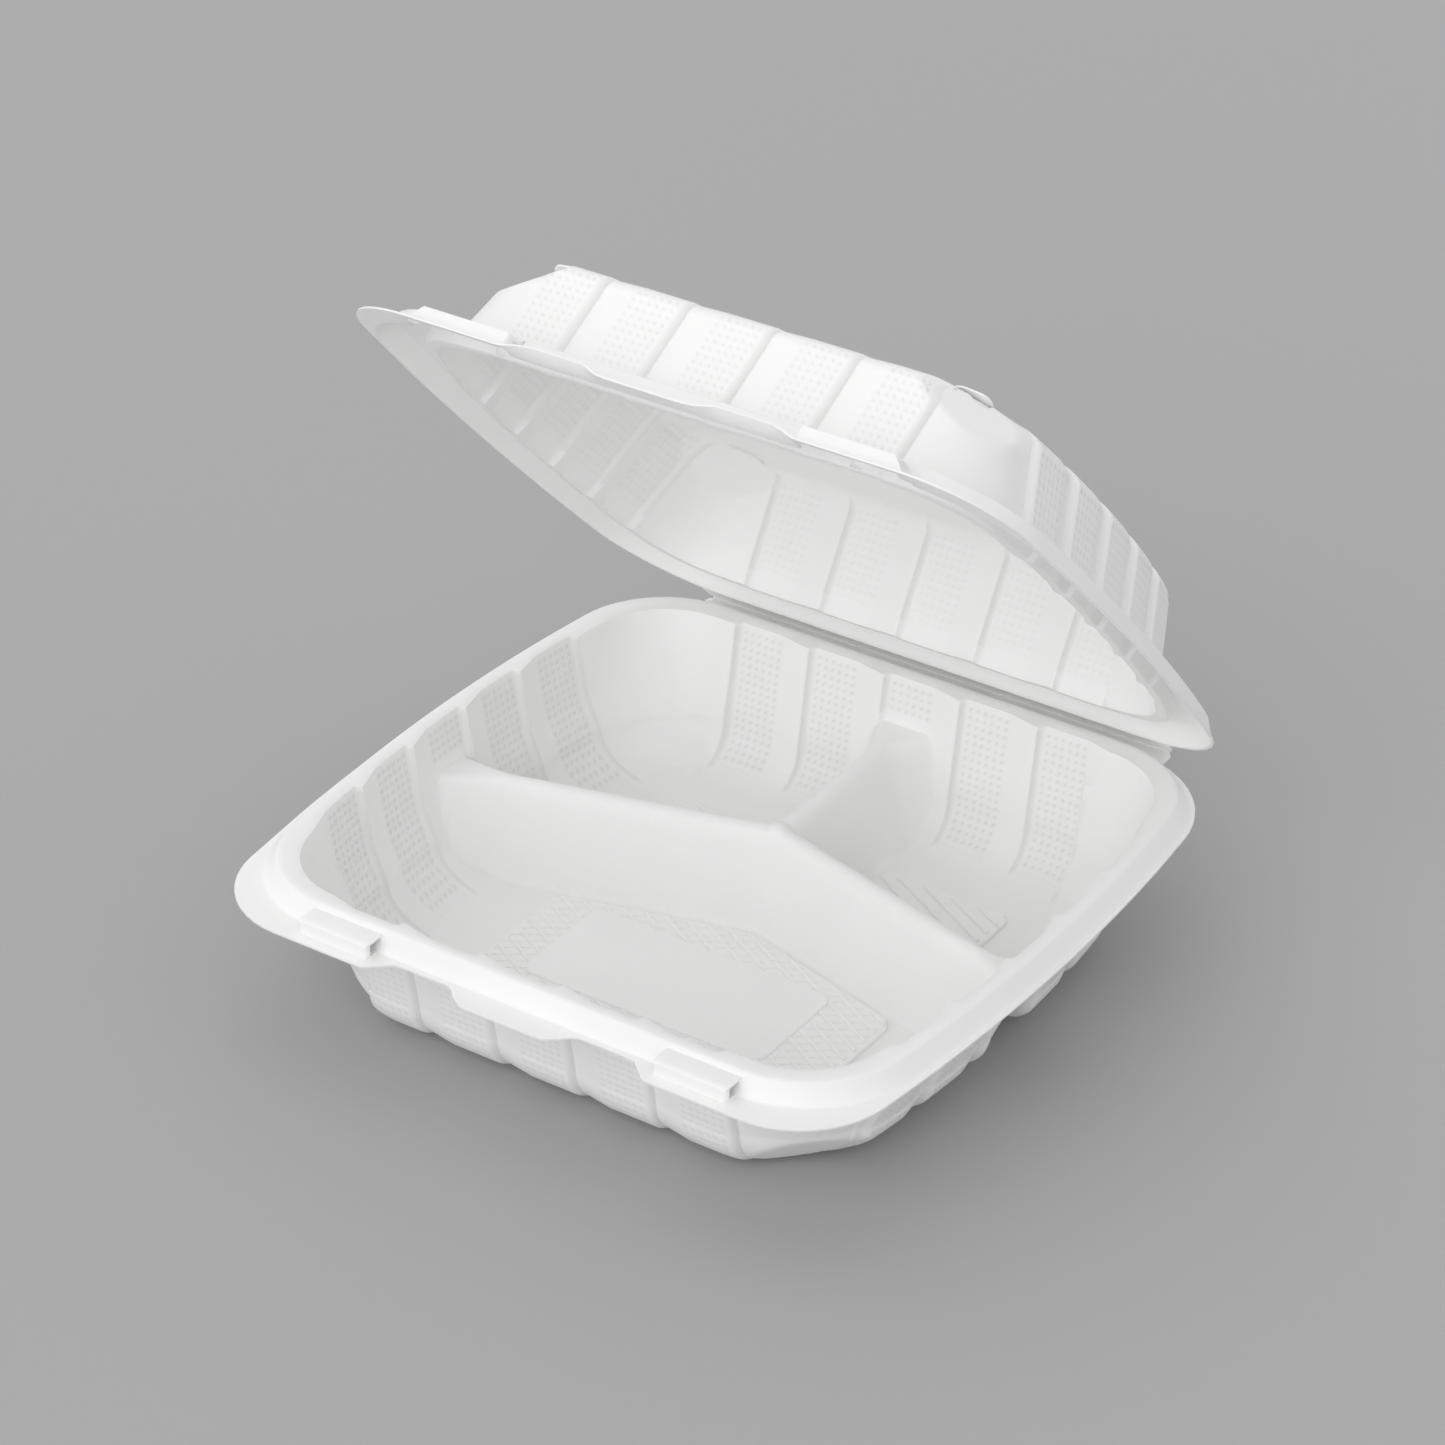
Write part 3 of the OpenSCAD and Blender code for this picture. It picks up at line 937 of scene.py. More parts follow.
@dataclass(frozen=True)
class Hatch:
    """Rows of parallel ridges.

    Attributes:
        degrees: direction of the ridges.
        pitch: spacing of the ridges.
        wide: width of a ridge at its foot.
        tall: height of a ridge.
        narrow: width of a ridge's top as a share of its foot.
        sunk: how far a ridge reaches into the plate.
    """

    degrees: float
    pitch: float
    wide: float
    tall: float
    narrow: float = 0.45
    sunk: float = 0.2


@dataclass(frozen=True)
class Plate:
    """Raised plate on the floor, with a hatched face.

    Attributes:
        outline: corners of the plate, convex and anticlockwise.
        low: height of the floor.
        rise: height of the plate.
        corner: radius of its corners.
        slope: width of its sloping edge.
        sunk: how far the plate reaches into the floor.
        border: width of the plain border round the hatching.
        spare: how far a start reaches beyond the outline before it is trimmed.
    """

    outline: Sequence[Point2]
    low: float
    rise: float
    corner: float = 5.0
    slope: float = 0.7
    sunk: float = 0.3
    border: float = 1.4
    spare: float = 1.0

    @property
    def top(self) -> float:
        """Height of the plate's upper face."""
        return self.low + self.rise

    def trim(self, bench: Bench, margin: float) -> None:
        """Trims a piece to the plate's sides.

        Args:
            bench: the piece.
            margin: how far the sides move inward.
        """
        for a, b in zip(self.outline, list(self.outline[1:]) + [self.outline[0]]):
            length = math.hypot(b[0] - a[0], b[1] - a[1])
            n = ((b[1] - a[1]) / length, (a[0] - b[0]) / length)
            bench.trim((a[0] - n[0] * margin, a[1] - n[1] * margin, 0.0), (n[0], n[1], 0.0))

    def block(self, name: str) -> Piece:
        """Models the plate: a cube trimmed to the outline, with round corners and a sloping edge.

        Args:
            name: name of the piece.

        Returns:
            The piece.
        """
        xs, ys = [p[0] for p in self.outline], [p[1] for p in self.outline]
        low = (min(xs) - self.spare, min(ys) - self.spare, self.low - self.sunk)
        bench = Bench(name, low, (max(xs) + self.spare, max(ys) + self.spare, self.top))
        self.trim(bench, 0.0)
        bench.pick(Pick.EDGE, lambda m, d: abs(d.z) > ALONG)
        bench.bevel(self.corner, 6)
        bench.pick(Pick.EDGE, lambda m, d: m.z > self.top - 0.01)
        bench.bevel(self.slope, 3)
        return smooth(bench.done(), 40)

    def hatch(self, name: str, rows: Hatch) -> Piece:
        """Models the hatching: one ridge, copied across the plate and trimmed to it.

        Args:
            name: name of the piece.
            rows: the ridges.

        Returns:
            The piece.
        """
        middle = np.mean(np.array(self.outline), 0)
        reach = max(math.hypot(p[0] - middle[0], p[1] - middle[1]) for p in self.outline) + 3.0 * self.spare
        count = int(2.0 * reach / rows.pitch)
        low = (-reach, -rows.wide / 2.0, self.top - rows.sunk)
        bench = Bench(name, low, (reach, rows.wide / 2.0, self.top + rows.tall))
        bench.pick(Pick.FACE, lambda m, n: n.z > ALONG)
        bench.resize((1.0, rows.narrow, 1.0), (0.0, 0.0, self.top))
        bench.turn(rows.degrees, "Z", (0.0, 0.0, 0.0))
        a = math.radians(rows.degrees)
        n = (-math.sin(a), math.cos(a))
        far = count * rows.pitch / 2.0
        start = ((middle[0] - n[0] * far) * MM, (middle[1] - n[1] * far) * MM, 0.0)
        bpy.ops.transform.translate(value=start)
        bench.repeat(count, (n[0] * rows.pitch, n[1] * rows.pitch, 0.0))
        self.trim(bench, self.border)
        return bench.done()


@dataclass(frozen=True)
class Weave:
    """Basket weave pressed into the flat panels of the pleats.

    Attributes:
        height: depth of the dimples.
        painted_shade: strength of the shade painted into the dimples, which also sets the shade painted into
            the folds.
        row_pitch: height of one row of the weave.
    """

    height: float = 0.75
    painted_shade: float = 0.5
    row_pitch: float = 2.76

    @property
    def step(self) -> float:
        """Distance between the rings that carry the weave."""
        return self.row_pitch / DIMPLE_POINTS

    @property
    def painted_crease_shade(self) -> float:
        """Strength of the shade painted into the folds beside the panels."""
        return 0.25 + 0.5 * self.painted_shade

    def wave(self, phase: np.ndarray) -> np.ndarray:
        """Gives 1 in the middle of a dimple and 0 at its other points."""
        return np.cos(phase) * 0.67 + 0.33

    def press(self, grid: np.ndarray, maker: RingMaker, flip: bool, fade: np.ndarray) -> np.ndarray:
        """Presses the weave into a grid of rings, with a strength for each point."""
        dent = self.dents(len(grid), maker) * fade
        return grid + grid_normals(grid, flip) * (dent * self.height)[:, :, None]

    def dents(self, rings: int, maker: RingMaker) -> np.ndarray:
        """Gives the shape of the dimples.

        Args:
            rings: number of rings.
            maker: the maker of the rings.

        Returns:
            Shares of the dimple depth, as rings by points.
        """
        column = self.wave(maker.spread("column"))[None, :]
        row = self.wave(np.arange(rings) * 2.0 * math.pi / DIMPLE_POINTS)[:, None]
        return column * row * maker.spread("weave")[None, :]

    def painted_fold_shade(self, maker: RingMaker, fade: np.ndarray) -> np.ndarray:
        """Gives the strength of the painted shade at each point, in folds and dimples, with a first plain
        ring.

        Args:
            maker: the maker of the rings.
            fade: strength of the weave at each point.

        Returns:
            Shares, as rings by points.
        """
        # Painted shade: dark dots in the dimples and dark lines in the creases
        painted_dimple_dots = np.clip(self.dents(len(fade), maker), 0.0, 1.0) * fade * self.painted_shade
        painted_crease_lines = maker.spread("painted_crease_shade")[None, :] * np.clip(2.0 * fade, 0.0, self.painted_crease_shade)
        return np.vstack([np.zeros((1, fade.shape[1])), np.maximum(painted_dimple_dots, painted_crease_lines)])


@dataclass(frozen=True)
class Dividers:
    """Hollow ridges that divide the base into three compartments.

    Attributes:
        floor: height at which a ridge has its full width.
        crown_z: height of the centre of the round crest.
        crown_r: radius of the round crest.
        foot_half: half the width of a ridge on the floor.
        fork: where the three ridges meet.
        fork_r: rounding of the arms' bend at the fork.
        fork_blend: height difference at which two ridges start to blend.
        arm_end: where the right arm meets the wall.
        stem_end: where the stem meets the wall.
        flare_run: length over which a ridge flares towards the wall.
        flare_bend: how late the flare starts.
        stem_flare: how far the stem flares.
        arm_flare: how far an arm flares.
        fillet: height difference at which a ridge starts to blend with the floor.
        fine_half: distance from a ridge within which floor points are close together.
        fine: spacing of the floor points on the ridges.
        coarse: spacing of the floor points elsewhere.
        reach: half the size of the grid of floor points.
    """

    floor: float = -42.4
    crown_z: float = -14.4
    crown_r: float = 3.7
    foot_half: float = 11.8
    fork: Point2 = (0.0, 30.0)
    fork_r: float = 4.0
    fork_blend: float = 2.5
    arm_end: Point2 = (102.6, 3.0)
    stem_end: Point2 = (0.0, 104.6)
    flare_run: float = 18.0
    flare_bend: float = 1.4
    stem_flare: float = 11.0
    arm_flare: float = 4.5
    fillet: float = 5.0
    fine_half: float = 15.4
    fine: float = 0.8
    coarse: float = 3.2
    reach: float = 110.0

    @property
    def sweep(self) -> float:
        """How far an arm comes forward for each unit of width."""
        return (self.fork[1] - self.arm_end[1]) / self.arm_end[0]

    def section(self, d: np.ndarray) -> np.ndarray:
        """Gives the height of a ridge at a distance from its middle line.

        Args:
            d: distances.

        Returns:
            The heights, which go on falling below the floor.
        """
        fall = self.crown_z - self.floor
        far = math.hypot(self.foot_half, fall)
        lean = math.acos(self.crown_r / far) - math.atan2(fall, self.foot_half)
        tx, tz = self.crown_r * math.cos(lean), self.crown_z + self.crown_r * math.sin(lean)
        crown = self.crown_z + np.sqrt(np.maximum(self.crown_r**2 - np.minimum(d, tx) ** 2, 0.0))
        flank = tz - (d - tx) / math.tan(lean)
        return np.where(d < tx, crown, flank)

    def ridge(self, x: np.ndarray, y: np.ndarray, end: Point2, half: float) -> np.ndarray:
        """Gives the height of one ridge from the fork to the wall and beyond.

        Args:
            x: places across.
            y: places in depth.
            end: where the ridge meets the wall.
            half: how far the ridge flares at the wall.

        Returns:
            The heights.
        """
        way = np.array(end) - np.array(self.fork)
        length = float(np.linalg.norm(way))
        way = way / length
        dx, dy = x - self.fork[0], y - self.fork[1]
        t = dx * way[0] + dy * way[1]
        across = np.hypot(dx * way[1] - dy * way[0], np.minimum(t, 0.0))
        flare = np.clip((t - length + self.flare_run) / self.flare_run, 0.0, 1.0) ** self.flare_bend
        return self.section(np.maximum(across - flare * half, 0.0))

    def raise_floor(self, p: np.ndarray) -> np.ndarray:
        """Lifts points of the base onto the ridges, with fillets.

        Args:
            p: points as rows of x, y, z.

        Returns:
            The lifted points.
        """
        x, y = p[:, 0], p[:, 1]
        top = self.ridge(x, y, self.stem_end, self.stem_flare)
        for s in (-1.0, 1.0):
            arm = self.ridge(x, y, (s * self.arm_end[0], self.arm_end[1]), self.arm_flare)
            top = soft_max(top, arm, self.fork_blend)
        out = p.copy()
        out[:, 2] = soft_max(p[:, 2], top, self.fillet)
        return out

    def places(self, middle: float) -> np.ndarray:
        """Gives places along a line that are close together round a middle.

        Args:
            middle: the middle.

        Returns:
            The places.
        """
        near = np.arange(-self.fine_half, self.fine_half + self.fine / 2.0, self.fine)
        far = np.arange(self.fine_half + self.coarse, self.reach * 1.5, self.coarse)
        return middle + np.concatenate([-far[::-1], near, far])

    def grid(self) -> np.ndarray:
        """Gives floor points that are close together along the ridges.

        Returns:
            The points as rows of x, y.
        """
        x, v = np.meshgrid(self.places(0.0), self.places(self.fork[1]))
        y = v - self.sweep * (np.sqrt(x**2 + self.fork_r**2) - self.fork_r)
        keep = (np.abs(x) < self.reach) & (np.abs(y) < self.reach)
        return np.stack([x[keep], y[keep]], 1)


@dataclass
class Shell:
    """What the two formed shells share.

    Attributes:
        seat: places of the shells in the row frame.
        rim: the shared rim.
        weave: weave of the shell.
        sheet: thickness of the plastic.
        tail: width of the flat edge inside the rounding.
        strap_half: half the length of the hinge strap.
        strap_lap: how far the strap reaches over the lip.
        strap_gap: distance from the strap to the hinge line.
        strap_r: radius of the strap's corners.
    """

    seat: Seat
    rim: Rim
    weave: Weave
    sheet: float = 0.6
    tail: float = 0.8
    strap_half: float = 87.0
    strap_lap: float = 1.0
    strap_gap: float = 0.2
    strap_r: float = 2.0

    def thicken(self, obj: Piece, degrees: float) -> Piece:
        """Gives a surface the thickness of the sheet and shades it smooth up to an angle."""
        apply_modifier(obj, "SOLIDIFY", thickness=self.sheet * MM, offset=-1.0)
        return smooth(obj, degrees)

    def rounding(self, blend: Blend) -> List[List[float]]:
        """Gives the profile rows from the foot of a wall to just inside the floor or the ceiling.

        Args:
            blend: the rounding.

        Returns:
            The rows, without the foot of the wall.
        """
        rows = [blend.row(a, self.rim.bead_r) for a in blend.angles(self.weave.step)]
        inset, z, _, side, corner = rows[-1]
        return rows + [[inset + self.tail, z, 0.0, side, corner + self.tail]]

    def half_strap(self, name: str, low: float) -> Piece:
        """Models one half of the hinge strap.

        Args:
            name: name of the piece.
            low: height of its lower face.

        Returns:
            The piece.
        """
        y = self.seat.hinge_y
        corner = (-self.strap_half, self.rim.depth / 2.0 - self.strap_lap, low)
        bench = Bench(name, corner, (self.strap_half, y - self.strap_gap, low + self.sheet))
        bench.pick(Pick.EDGE, lambda m, d: abs(d.z) > ALONG and m.y > y - 1.0)
        bench.bevel(self.strap_r, 4)
        return bench.done()

    def dress(self, shells: List[Piece], others: List[Piece], body: Body, finish: bpy.types.Material) -> None:
        """Gives pieces their finish and seats them on a body.

        Args:
            shells: the pieces that stand for the body's node.
            others: the other pieces.
            body: the body.
            finish: the plastic.
        """
        for obj in shells + others:
            obj.data.materials.append(finish)
            self.seat.place(obj, body)
        for obj in shells:
            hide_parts(body.value)


@dataclass
class Tray(Shell):
    """Base of the container: rim, walls, floor, dividers, plates and latch blocks."""

    dividers: Dividers = Dividers()
    end_groove: float = 9.0
    side_groove: float = 12.5
    end_pitch: float = 28.4
    side_pitch: float = 27.5
    facet: Facet = Facet(105.2, -42.4, 0.86, -24.0)
    close: float = 1.3
    rim_drop: float = 0.7
    draft: float = 10.0
    knee: float = -16.0
    floor_round: float = 15.0
    floor_sweep: float = 15.8
    side_lean: float = 2.6
    side_sweep: float = 11.0
    foot_corner: float = 39.0
    floor_corner: float = 10.0
    plate_half: float = 62.0
    plate_front: float = -61.0
    plate_back: float = 67.0
    plate_room: float = 14.5
    plate_rise: float = 1.5
    plate_hatch: Hatch = Hatch(-29.5, 4.8, 1.6, 0.45)
    cross_hatch: Hatch = Hatch(34.0, 3.6, 0.9, 0.22)
    panel: Sequence[Point2] = ((-47.0, -42.0), (41.0, -42.0), (41.0, -1.0), (-47.0, -1.0))
    panel_rise: float = 0.8
    latch_x: float = 63.0
    latch_run: float = 25.0
    latch_front: float = -110.7
    latch_back: float = -101.9
    latch_tall: float = 4.6
    latch_r: float = 1.3
    latch_wall: float = 0.7
    latch_hollow: float = 7.0
    fold_half: float = 85.5

    @property
    def wall_top(self) -> float:
        """Height of the top edge of the walls."""
        return self.rim.bead_height - self.rim_drop

    @property
    def floor_z(self) -> float:
        """Height of the floor's upper face."""
        return self.sheet - self.seat.lip_height

    def inset(self, z: float) -> float:
        """Gives the inset of the drafted wall at a height."""
        return self.rim.inner + (self.wall_top - z) * math.tan(math.radians(self.draft))

    def maker(self) -> RingMaker:
        """Gives the maker of the base's rings, with more points where a divider meets a wall.

        Returns:
            The maker.
        """
        more = np.arange(-26.0, 32.0, self.close)
        extra = {Run.RIGHT: more, Run.LEFT: -more, Run.BACK: np.arange(-24.0, 24.0, self.close)}
        at_end = (Run.FRONT, Run.BACK)
        grooves = {run: self.end_groove if run in at_end else self.side_groove for run in Run}
        return RingMaker(self.rim, Pleats(grooves, self.end_pitch, self.side_pitch, extra), self.facet)

    def blend(self) -> Blend:
        """Gives the rounding between the walls and the floor.

        Returns:
            The rounding.
        """
        z = self.floor_z + self.floor_round
        corners = (self.foot_corner, self.floor_corner)
        size = (self.floor_sweep, -self.floor_round, self.side_lean, self.side_sweep)
        return Blend(self.inset(z), z, *size, *corners)

    def rim_piece(self, maker: RingMaker) -> Piece:
        """Builds the lip, the front flange with its finger scoops, and the bead.

        Args:
            maker: the maker of the rings.

        Returns:
            The piece.
        """
        r = self.rim
        edge = maker.ring(r.lip(), 0.0, 0.0)
        front = edge[: maker.front_count]
        front[:, 1] = np.maximum(front[:, 1], -r.depth / 2.0 + r.scoop_depth * r.scoop(front[:, 0]))
        profile = [
            [-r.bead_foot - 0.5, 0.0, 0, 0, 0],
            [-r.bead_foot, 0.5, 0, 0, 0],
            [-r.bead_flat, r.bead_height, 0, 0, 0],
            [r.bead_flat, r.bead_height, 0, 0, 0],
            [r.inner - 0.3, self.wall_top + 0.1, 0.85, 0, 0],
        ]
        rings = [maker.row(q) for q in soften(profile, 0.7)]
        flange = [edge + (rings[0] - edge) * t for t in (0.0, 0.12, 0.35, 0.65, 0.9)]
        return self.thicken(formed_sheet("base_rim", flange + rings, False), 55)

    def walls(self, maker: RingMaker) -> Tuple[List[np.ndarray], np.ndarray]:
        """Gives the rings of the pleated walls down to the floor.

        Args:
            maker: the maker of the rings.

        Returns:
            The rings, from the top inwards, and the strength of the shade painted at their points, in folds
            and dimples.
        """
        blend, step = self.blend(), self.weave.step
        top = [self.rim.inner, self.wall_top, 1, 0, 0]
        foot = blend.row(0.0, self.rim.bead_r)
        bend = self.inset(self.knee)
        knee = [bend, self.knee, 1, 0, foot[4] + bend - foot[0]]
        rows = between(top, knee, step) + between(knee, foot, step)[1:] + self.rounding(blend)
        plain = np.stack([maker.row(q) for q in rows])
        grid = np.stack([self.dividers.raise_floor(r) for r in plain])
        z = plain[:, :, 2]
        fade = np.clip(self.wall_top - 0.8 - z, 0, 1) * np.clip((z - self.floor_z - 1.0) / 2.0, 0, 1)
        fade = fade * np.clip(1.0 - 3.0 * (grid[:, :, 2] - z), 0, 1)
        grid = self.weave.press(grid, maker, False, fade)
        tuck = maker.row([self.rim.inner - 0.6, self.wall_top + 0.15, 0.7, 0, 0])
        return [tuck] + list(grid), self.weave.painted_fold_shade(maker, fade)

    def tray_piece(self, maker: RingMaker) -> Piece:
        """Builds the walls, the floor and the dividers as one formed sheet.

        Args:
            maker: the maker of the rings.

        Returns:
            The piece.
        """
        walls, painted_fold_shade = self.walls(maker)
        inside = inner_points(walls[-1][:, :2], self.dividers.grid(), 0.9)
        floor = np.column_stack([inside, np.full(len(inside), self.floor_z)])
        obj = formed_sheet("base_tray", walls, False, self.dividers.raise_floor(floor), painted_fold_shade)
        return self.thicken(obj, 50)

    def plates(self) -> List[Piece]:
        """Models the raised plates of the three compartments with their hatching.

        Returns:
            The pieces.
        """
        w, low, rise, slope = self.plate_half, self.floor_z, self.plate_rise, self.dividers.sweep
        fork, room, back = self.dividers.fork[1], self.plate_room, self.plate_back
        away = room * math.hypot(1.0, slope)
        near, far, front = fork - away, fork + away, self.plate_front
        side = near - slope * w
        main = Plate([(-w, front), (w, front), (w, side), (0.0, near), (-w, side)], low, rise)
        out = [main.block("floor_plate"), main.hatch("floor_hatch", self.plate_hatch)]
        out.append(main.hatch("floor_cross_hatch", self.cross_hatch))
        out.append(Plate(self.panel, low + rise, self.panel_rise).block("floor_panel"))
        corners = [(room, far - slope * room), (w, far - slope * w), (w, back), (room, back)]
        mirrored = [(-x, y) for x, y in corners[::-1]]
        for name, turned in (("right", corners), ("left", mirrored)):
            plate = Plate(turned, low, rise, 4.0)
            out += [plate.block(name + "_plate"), plate.hatch(name + "_hatch", self.plate_hatch)]
        return out

    def latches(self) -> List[Piece]:
        """Models the two latch blocks on the front flange, hollow at their ends.

        Returns:
            The pieces.
        """
        out = []
        tall, half = self.latch_tall, self.latch_run / 2.0
        for x, name in ((-self.latch_x, "left_latch"), (self.latch_x, "right_latch")):
            x0, x1 = x - half, x + half
            bench = Bench(name, (x0, self.latch_front, -0.3), (x1, self.latch_back, tall))
            bench.pick(Pick.EDGE, lambda m, d: abs(d.z) > ALONG or (m.z > tall - 0.1 and abs(d.x) > ALONG))
            bench.bevel(self.latch_r, 3)
            for end, way in ((x0, 1.0), (x1, -1.0)):
                bench.pick(Pick.FACE, lambda m, n: abs(m.x - end) < 0.05 and abs(n.x) > ALONG)
                bench.inset(self.latch_wall)
                bench.extrude((way * self.latch_hollow, 0.0, 0.0))
            out.append(smooth(bench.done(), 40))
        return out

    def hinge_fold(self) -> Piece:
        """Models the fold between the two halves of the hinge strap.

        Returns:
            The piece.
        """
        y = self.seat.hinge_y
        bench = Bench("hinge_fold", (-self.fold_half, y - 0.5, -0.3), (self.fold_half, y + 0.5, 0.7))
        bench.pick(Pick.EDGE, lambda m, d: abs(d.x) > ALONG)
        bench.bevel(0.3, 3)
        return smooth(bench.done(), 60)

    def build(self, finish: bpy.types.Material) -> None:
        """Builds and dresses the base.

        Args:
            finish: the plastic.
        """
        maker = self.maker()
        shells = [self.rim_piece(maker), self.tray_piece(maker)]
        others = self.plates() + self.latches()
        others += [self.half_strap("base_strap", -self.sheet), self.hinge_fold()]
        self.dress(shells, others, Body.BASE, finish)


@dataclass
class Cover(Shell):
    """Lid of the container: rim channel, latch pockets, plug, walls, ceiling and steam vents."""

    end_pitch: float = 28.8
    side_pitch: float = 26.0
    facet: Facet = Facet(100.3, 39.0, -1.02, 19.5)
    gap: float = 0.4
    channel_room: float = 0.9
    plug_z: float = 2.5
    plug_in: float = 6.82
    plug_edge: float = 2.6
    plug_share: float = 0.5
    skirt: float = 5.9
    height: float = 39.0
    draft: float = 15.0
    crown_round: float = 6.0
    crown_sweep: float = 9.0
    crown_side: float = 4.0
    side_lean: float = 0.6
    wall_corner: float = 24.0
    crown_corner: float = 12.0
    lip_lift: float = 2.4
    lip_cut: float = 1.5
    pocket_x: float = 65.2
    pocket_half: float = 15.6
    pocket_front: float = -111.5
    pocket_back: float = -95.0
    pocket_top: float = 5.05
    pocket_slant: float = 0.7
    pocket_lead: float = 0.6
    vent_x: float = 69.0
    vent_y: float = 68.0
    vent_run: float = 13.0
    vent_wide: float = 4.6
    vent_rise: float = 1.7
    vent_turn: float = 18.0

    @property
    def low(self) -> float:
        """Inset of the inner edge of the plug."""
        return self.plug_in + self.plug_edge

    @property
    def pocket_end(self) -> float:
        """Distance from the centre line to the inner end of a latch pocket."""
        return self.pocket_x - self.pocket_half

    def inset(self, z: float) -> float:
        """Gives the inset of the drafted wall at a height."""
        return self.low + (z - self.plug_z) * math.tan(math.radians(self.draft))

    def maker(self) -> RingMaker:
        """Gives the maker of the lid's rings, with more points at the latch pockets.

        Returns:
            The maker.
        """
        grooves = {Run.FRONT: 11.6, Run.RIGHT: 3.5, Run.BACK: 7.2, Run.LEFT: 20.5}
        ends = [s * (self.pocket_end + k) for s in (-1, 1) for k in (-self.pocket_slant, 0.0, 0.5)]
        pleats = Pleats(grooves, self.end_pitch, self.side_pitch, {Run.FRONT: ends}, least=0.15)
        return RingMaker(self.rim, pleats, self.facet)

    def blend(self) -> Blend:
        """Gives the rounding between the walls and the ceiling.

        Returns:
            The rounding.
        """
        z = self.height - self.crown_round
        corners = (self.wall_corner, self.crown_corner)
        size = (self.crown_sweep, self.crown_round, self.side_lean, self.crown_side)
        return Blend(self.inset(z), z, *size, *corners)

    def shape_front(self, ring: np.ndarray, share: float) -> np.ndarray:
        """Raises the latch pockets and bends the finger scoops up.

        Args:
            ring: ring of the rim.
            share: 1 at the edge of the lip and 0 from the channel inwards.

        Returns:
            The shaped ring.
        """
        out = ring.copy()
        ahead = out[:, 1] < self.pocket_back
        f = out[ahead]
        slant, lead = self.pocket_slant, self.pocket_lead
        a = np.abs(f[:, 0]) - self.pocket_x
        wide = np.clip((self.pocket_half + slant - np.abs(a)) / slant, 0.0, 1.0)
        deep = np.clip((f[:, 1] - self.pocket_front + lead) / lead, 0.0, 1.0)
        f[:, 2] = np.maximum(f[:, 2], self.gap + (self.pocket_top - self.gap) * np.minimum(wide, deep))
        scoop = self.rim.scoop(f[:, 0])
        f[:, 2] += self.lip_lift * scoop * share**2
        f[:, 1] += self.lip_cut * scoop * share
        out[ahead] = f
        return out

    def rim_piece(self, maker: RingMaker) -> Piece:
        """Builds the lip, the latch pockets, the channel over the bead and the plug.

        Args:
            maker: the maker of the rings.

        Returns:
            The piece.
        """
        r, s = self.rim, self.plug_share
        edge = maker.ring(r.lip(), 0.0, self.gap)
        crest = r.bead_height + self.channel_room
        profile = [
            [-r.bead_foot - 1.0, self.gap, 0, 0, 0],
            [-r.bead_foot - 0.5, self.gap + 0.5, 0, 0, 0],
            [-r.bead_flat - 0.5, crest, 0, 0, 0],
            [self.plug_in - 0.8, crest, s, 0, 0],
            [self.plug_in, self.plug_z, s, 0, 0],
            [self.low - 0.3, self.plug_z, 0.9, 0, 3.5],
        ]
        rings = [maker.row(q) for q in soften(profile, 0.6)]
        steps = (0.0, 0.12, 0.22, 0.29, 0.36, 0.5, 0.7, 0.9)
        flange = [self.shape_front(edge + (rings[0] - edge) * t, 1.0 - t) for t in steps]
        outer = 6
        channel = [self.shape_front(f, 0.0) for f in rings[:outer]] + rings[outer:]
        return self.thicken(formed_sheet("lid_rim", flange + channel, True), 50)

    def dome_piece(self, maker: RingMaker) -> Piece:
        """Builds the pleated walls and the ceiling as one formed sheet.

        Args:
            maker: the maker of the rings.

        Returns:
            The piece.
        """
        blend, step = self.blend(), self.weave.step
        top = self.plug_z + self.skirt
        skirt = [self.low + self.skirt * math.tan(math.radians(self.draft)), top, 1, 0, 8]
        rows = between([self.low, self.plug_z, 0.9, 0, 4], skirt, 1.2)[:-1]
        rows += between(skirt, blend.row(0.0, self.rim.bead_r), step) + self.rounding(blend)
        grid = np.stack([maker.row(q) for q in rows])
        z = grid[:, :, 2]
        fade = np.clip((z - 8.0) / 2.0, 0, 1) * np.clip((self.height - 1.0 - z) / 2.0, 0, 1)
        grid = self.weave.press(grid, maker, True, fade)
        tuck = maker.row([self.low - 0.6, self.plug_z + 0.06, 0.9, 0, 3.5])
        places = np.arange(-96.0, 97.0, 8.0)
        x, y = np.meshgrid(places, places)
        inside = inner_points(grid[-1][:, :2], np.stack([x.ravel(), y.ravel()], 1), 3.0)
        ceiling = np.column_stack([inside, np.full(len(inside), self.height)])
        painted_fold_shade = self.weave.painted_fold_shade(maker, fade)
        return self.thicken(formed_sheet("lid_dome", [tuck] + list(grid), True, ceiling, painted_fold_shade), 50)

    def vent(self, name: str, low: float, high: float, tilt: float, sx: int, sy: int) -> Piece:
        """Models a half-round slab at one vent, straight towards the centre of the ceiling.

        Args:
            name: name of the piece.
            low: its lower face.
            high: its upper face.
            tilt: how far its round edge is turned up, in degrees.
            sx: side of the vent.
            sy: end of the vent.

        Returns:
            The piece.
        """
        half, wide = self.vent_run / 2.0, self.vent_wide
        bench = Bench(name, (-half, -0.2, low), (half, wide, high))
        bench.pick(Pick.EDGE, lambda m, d: abs(d.z) > ALONG and m.y > wide - 0.5)
        bench.bevel(wide - 0.3, 7)
        bench.turn(tilt, "X", (0.0, 0.0, self.height))
        obj = bench.done()
        turn = -sx * self.vent_turn if sy > 0 else 180.0 + sx * self.vent_turn
        place = Matrix.Translation((sx * self.vent_x * MM, (self.rim.middle + sy * self.vent_y) * MM, 0.0))
        obj.data.transform(place @ Matrix.Rotation(math.radians(turn), 4, "Z"))
        return obj

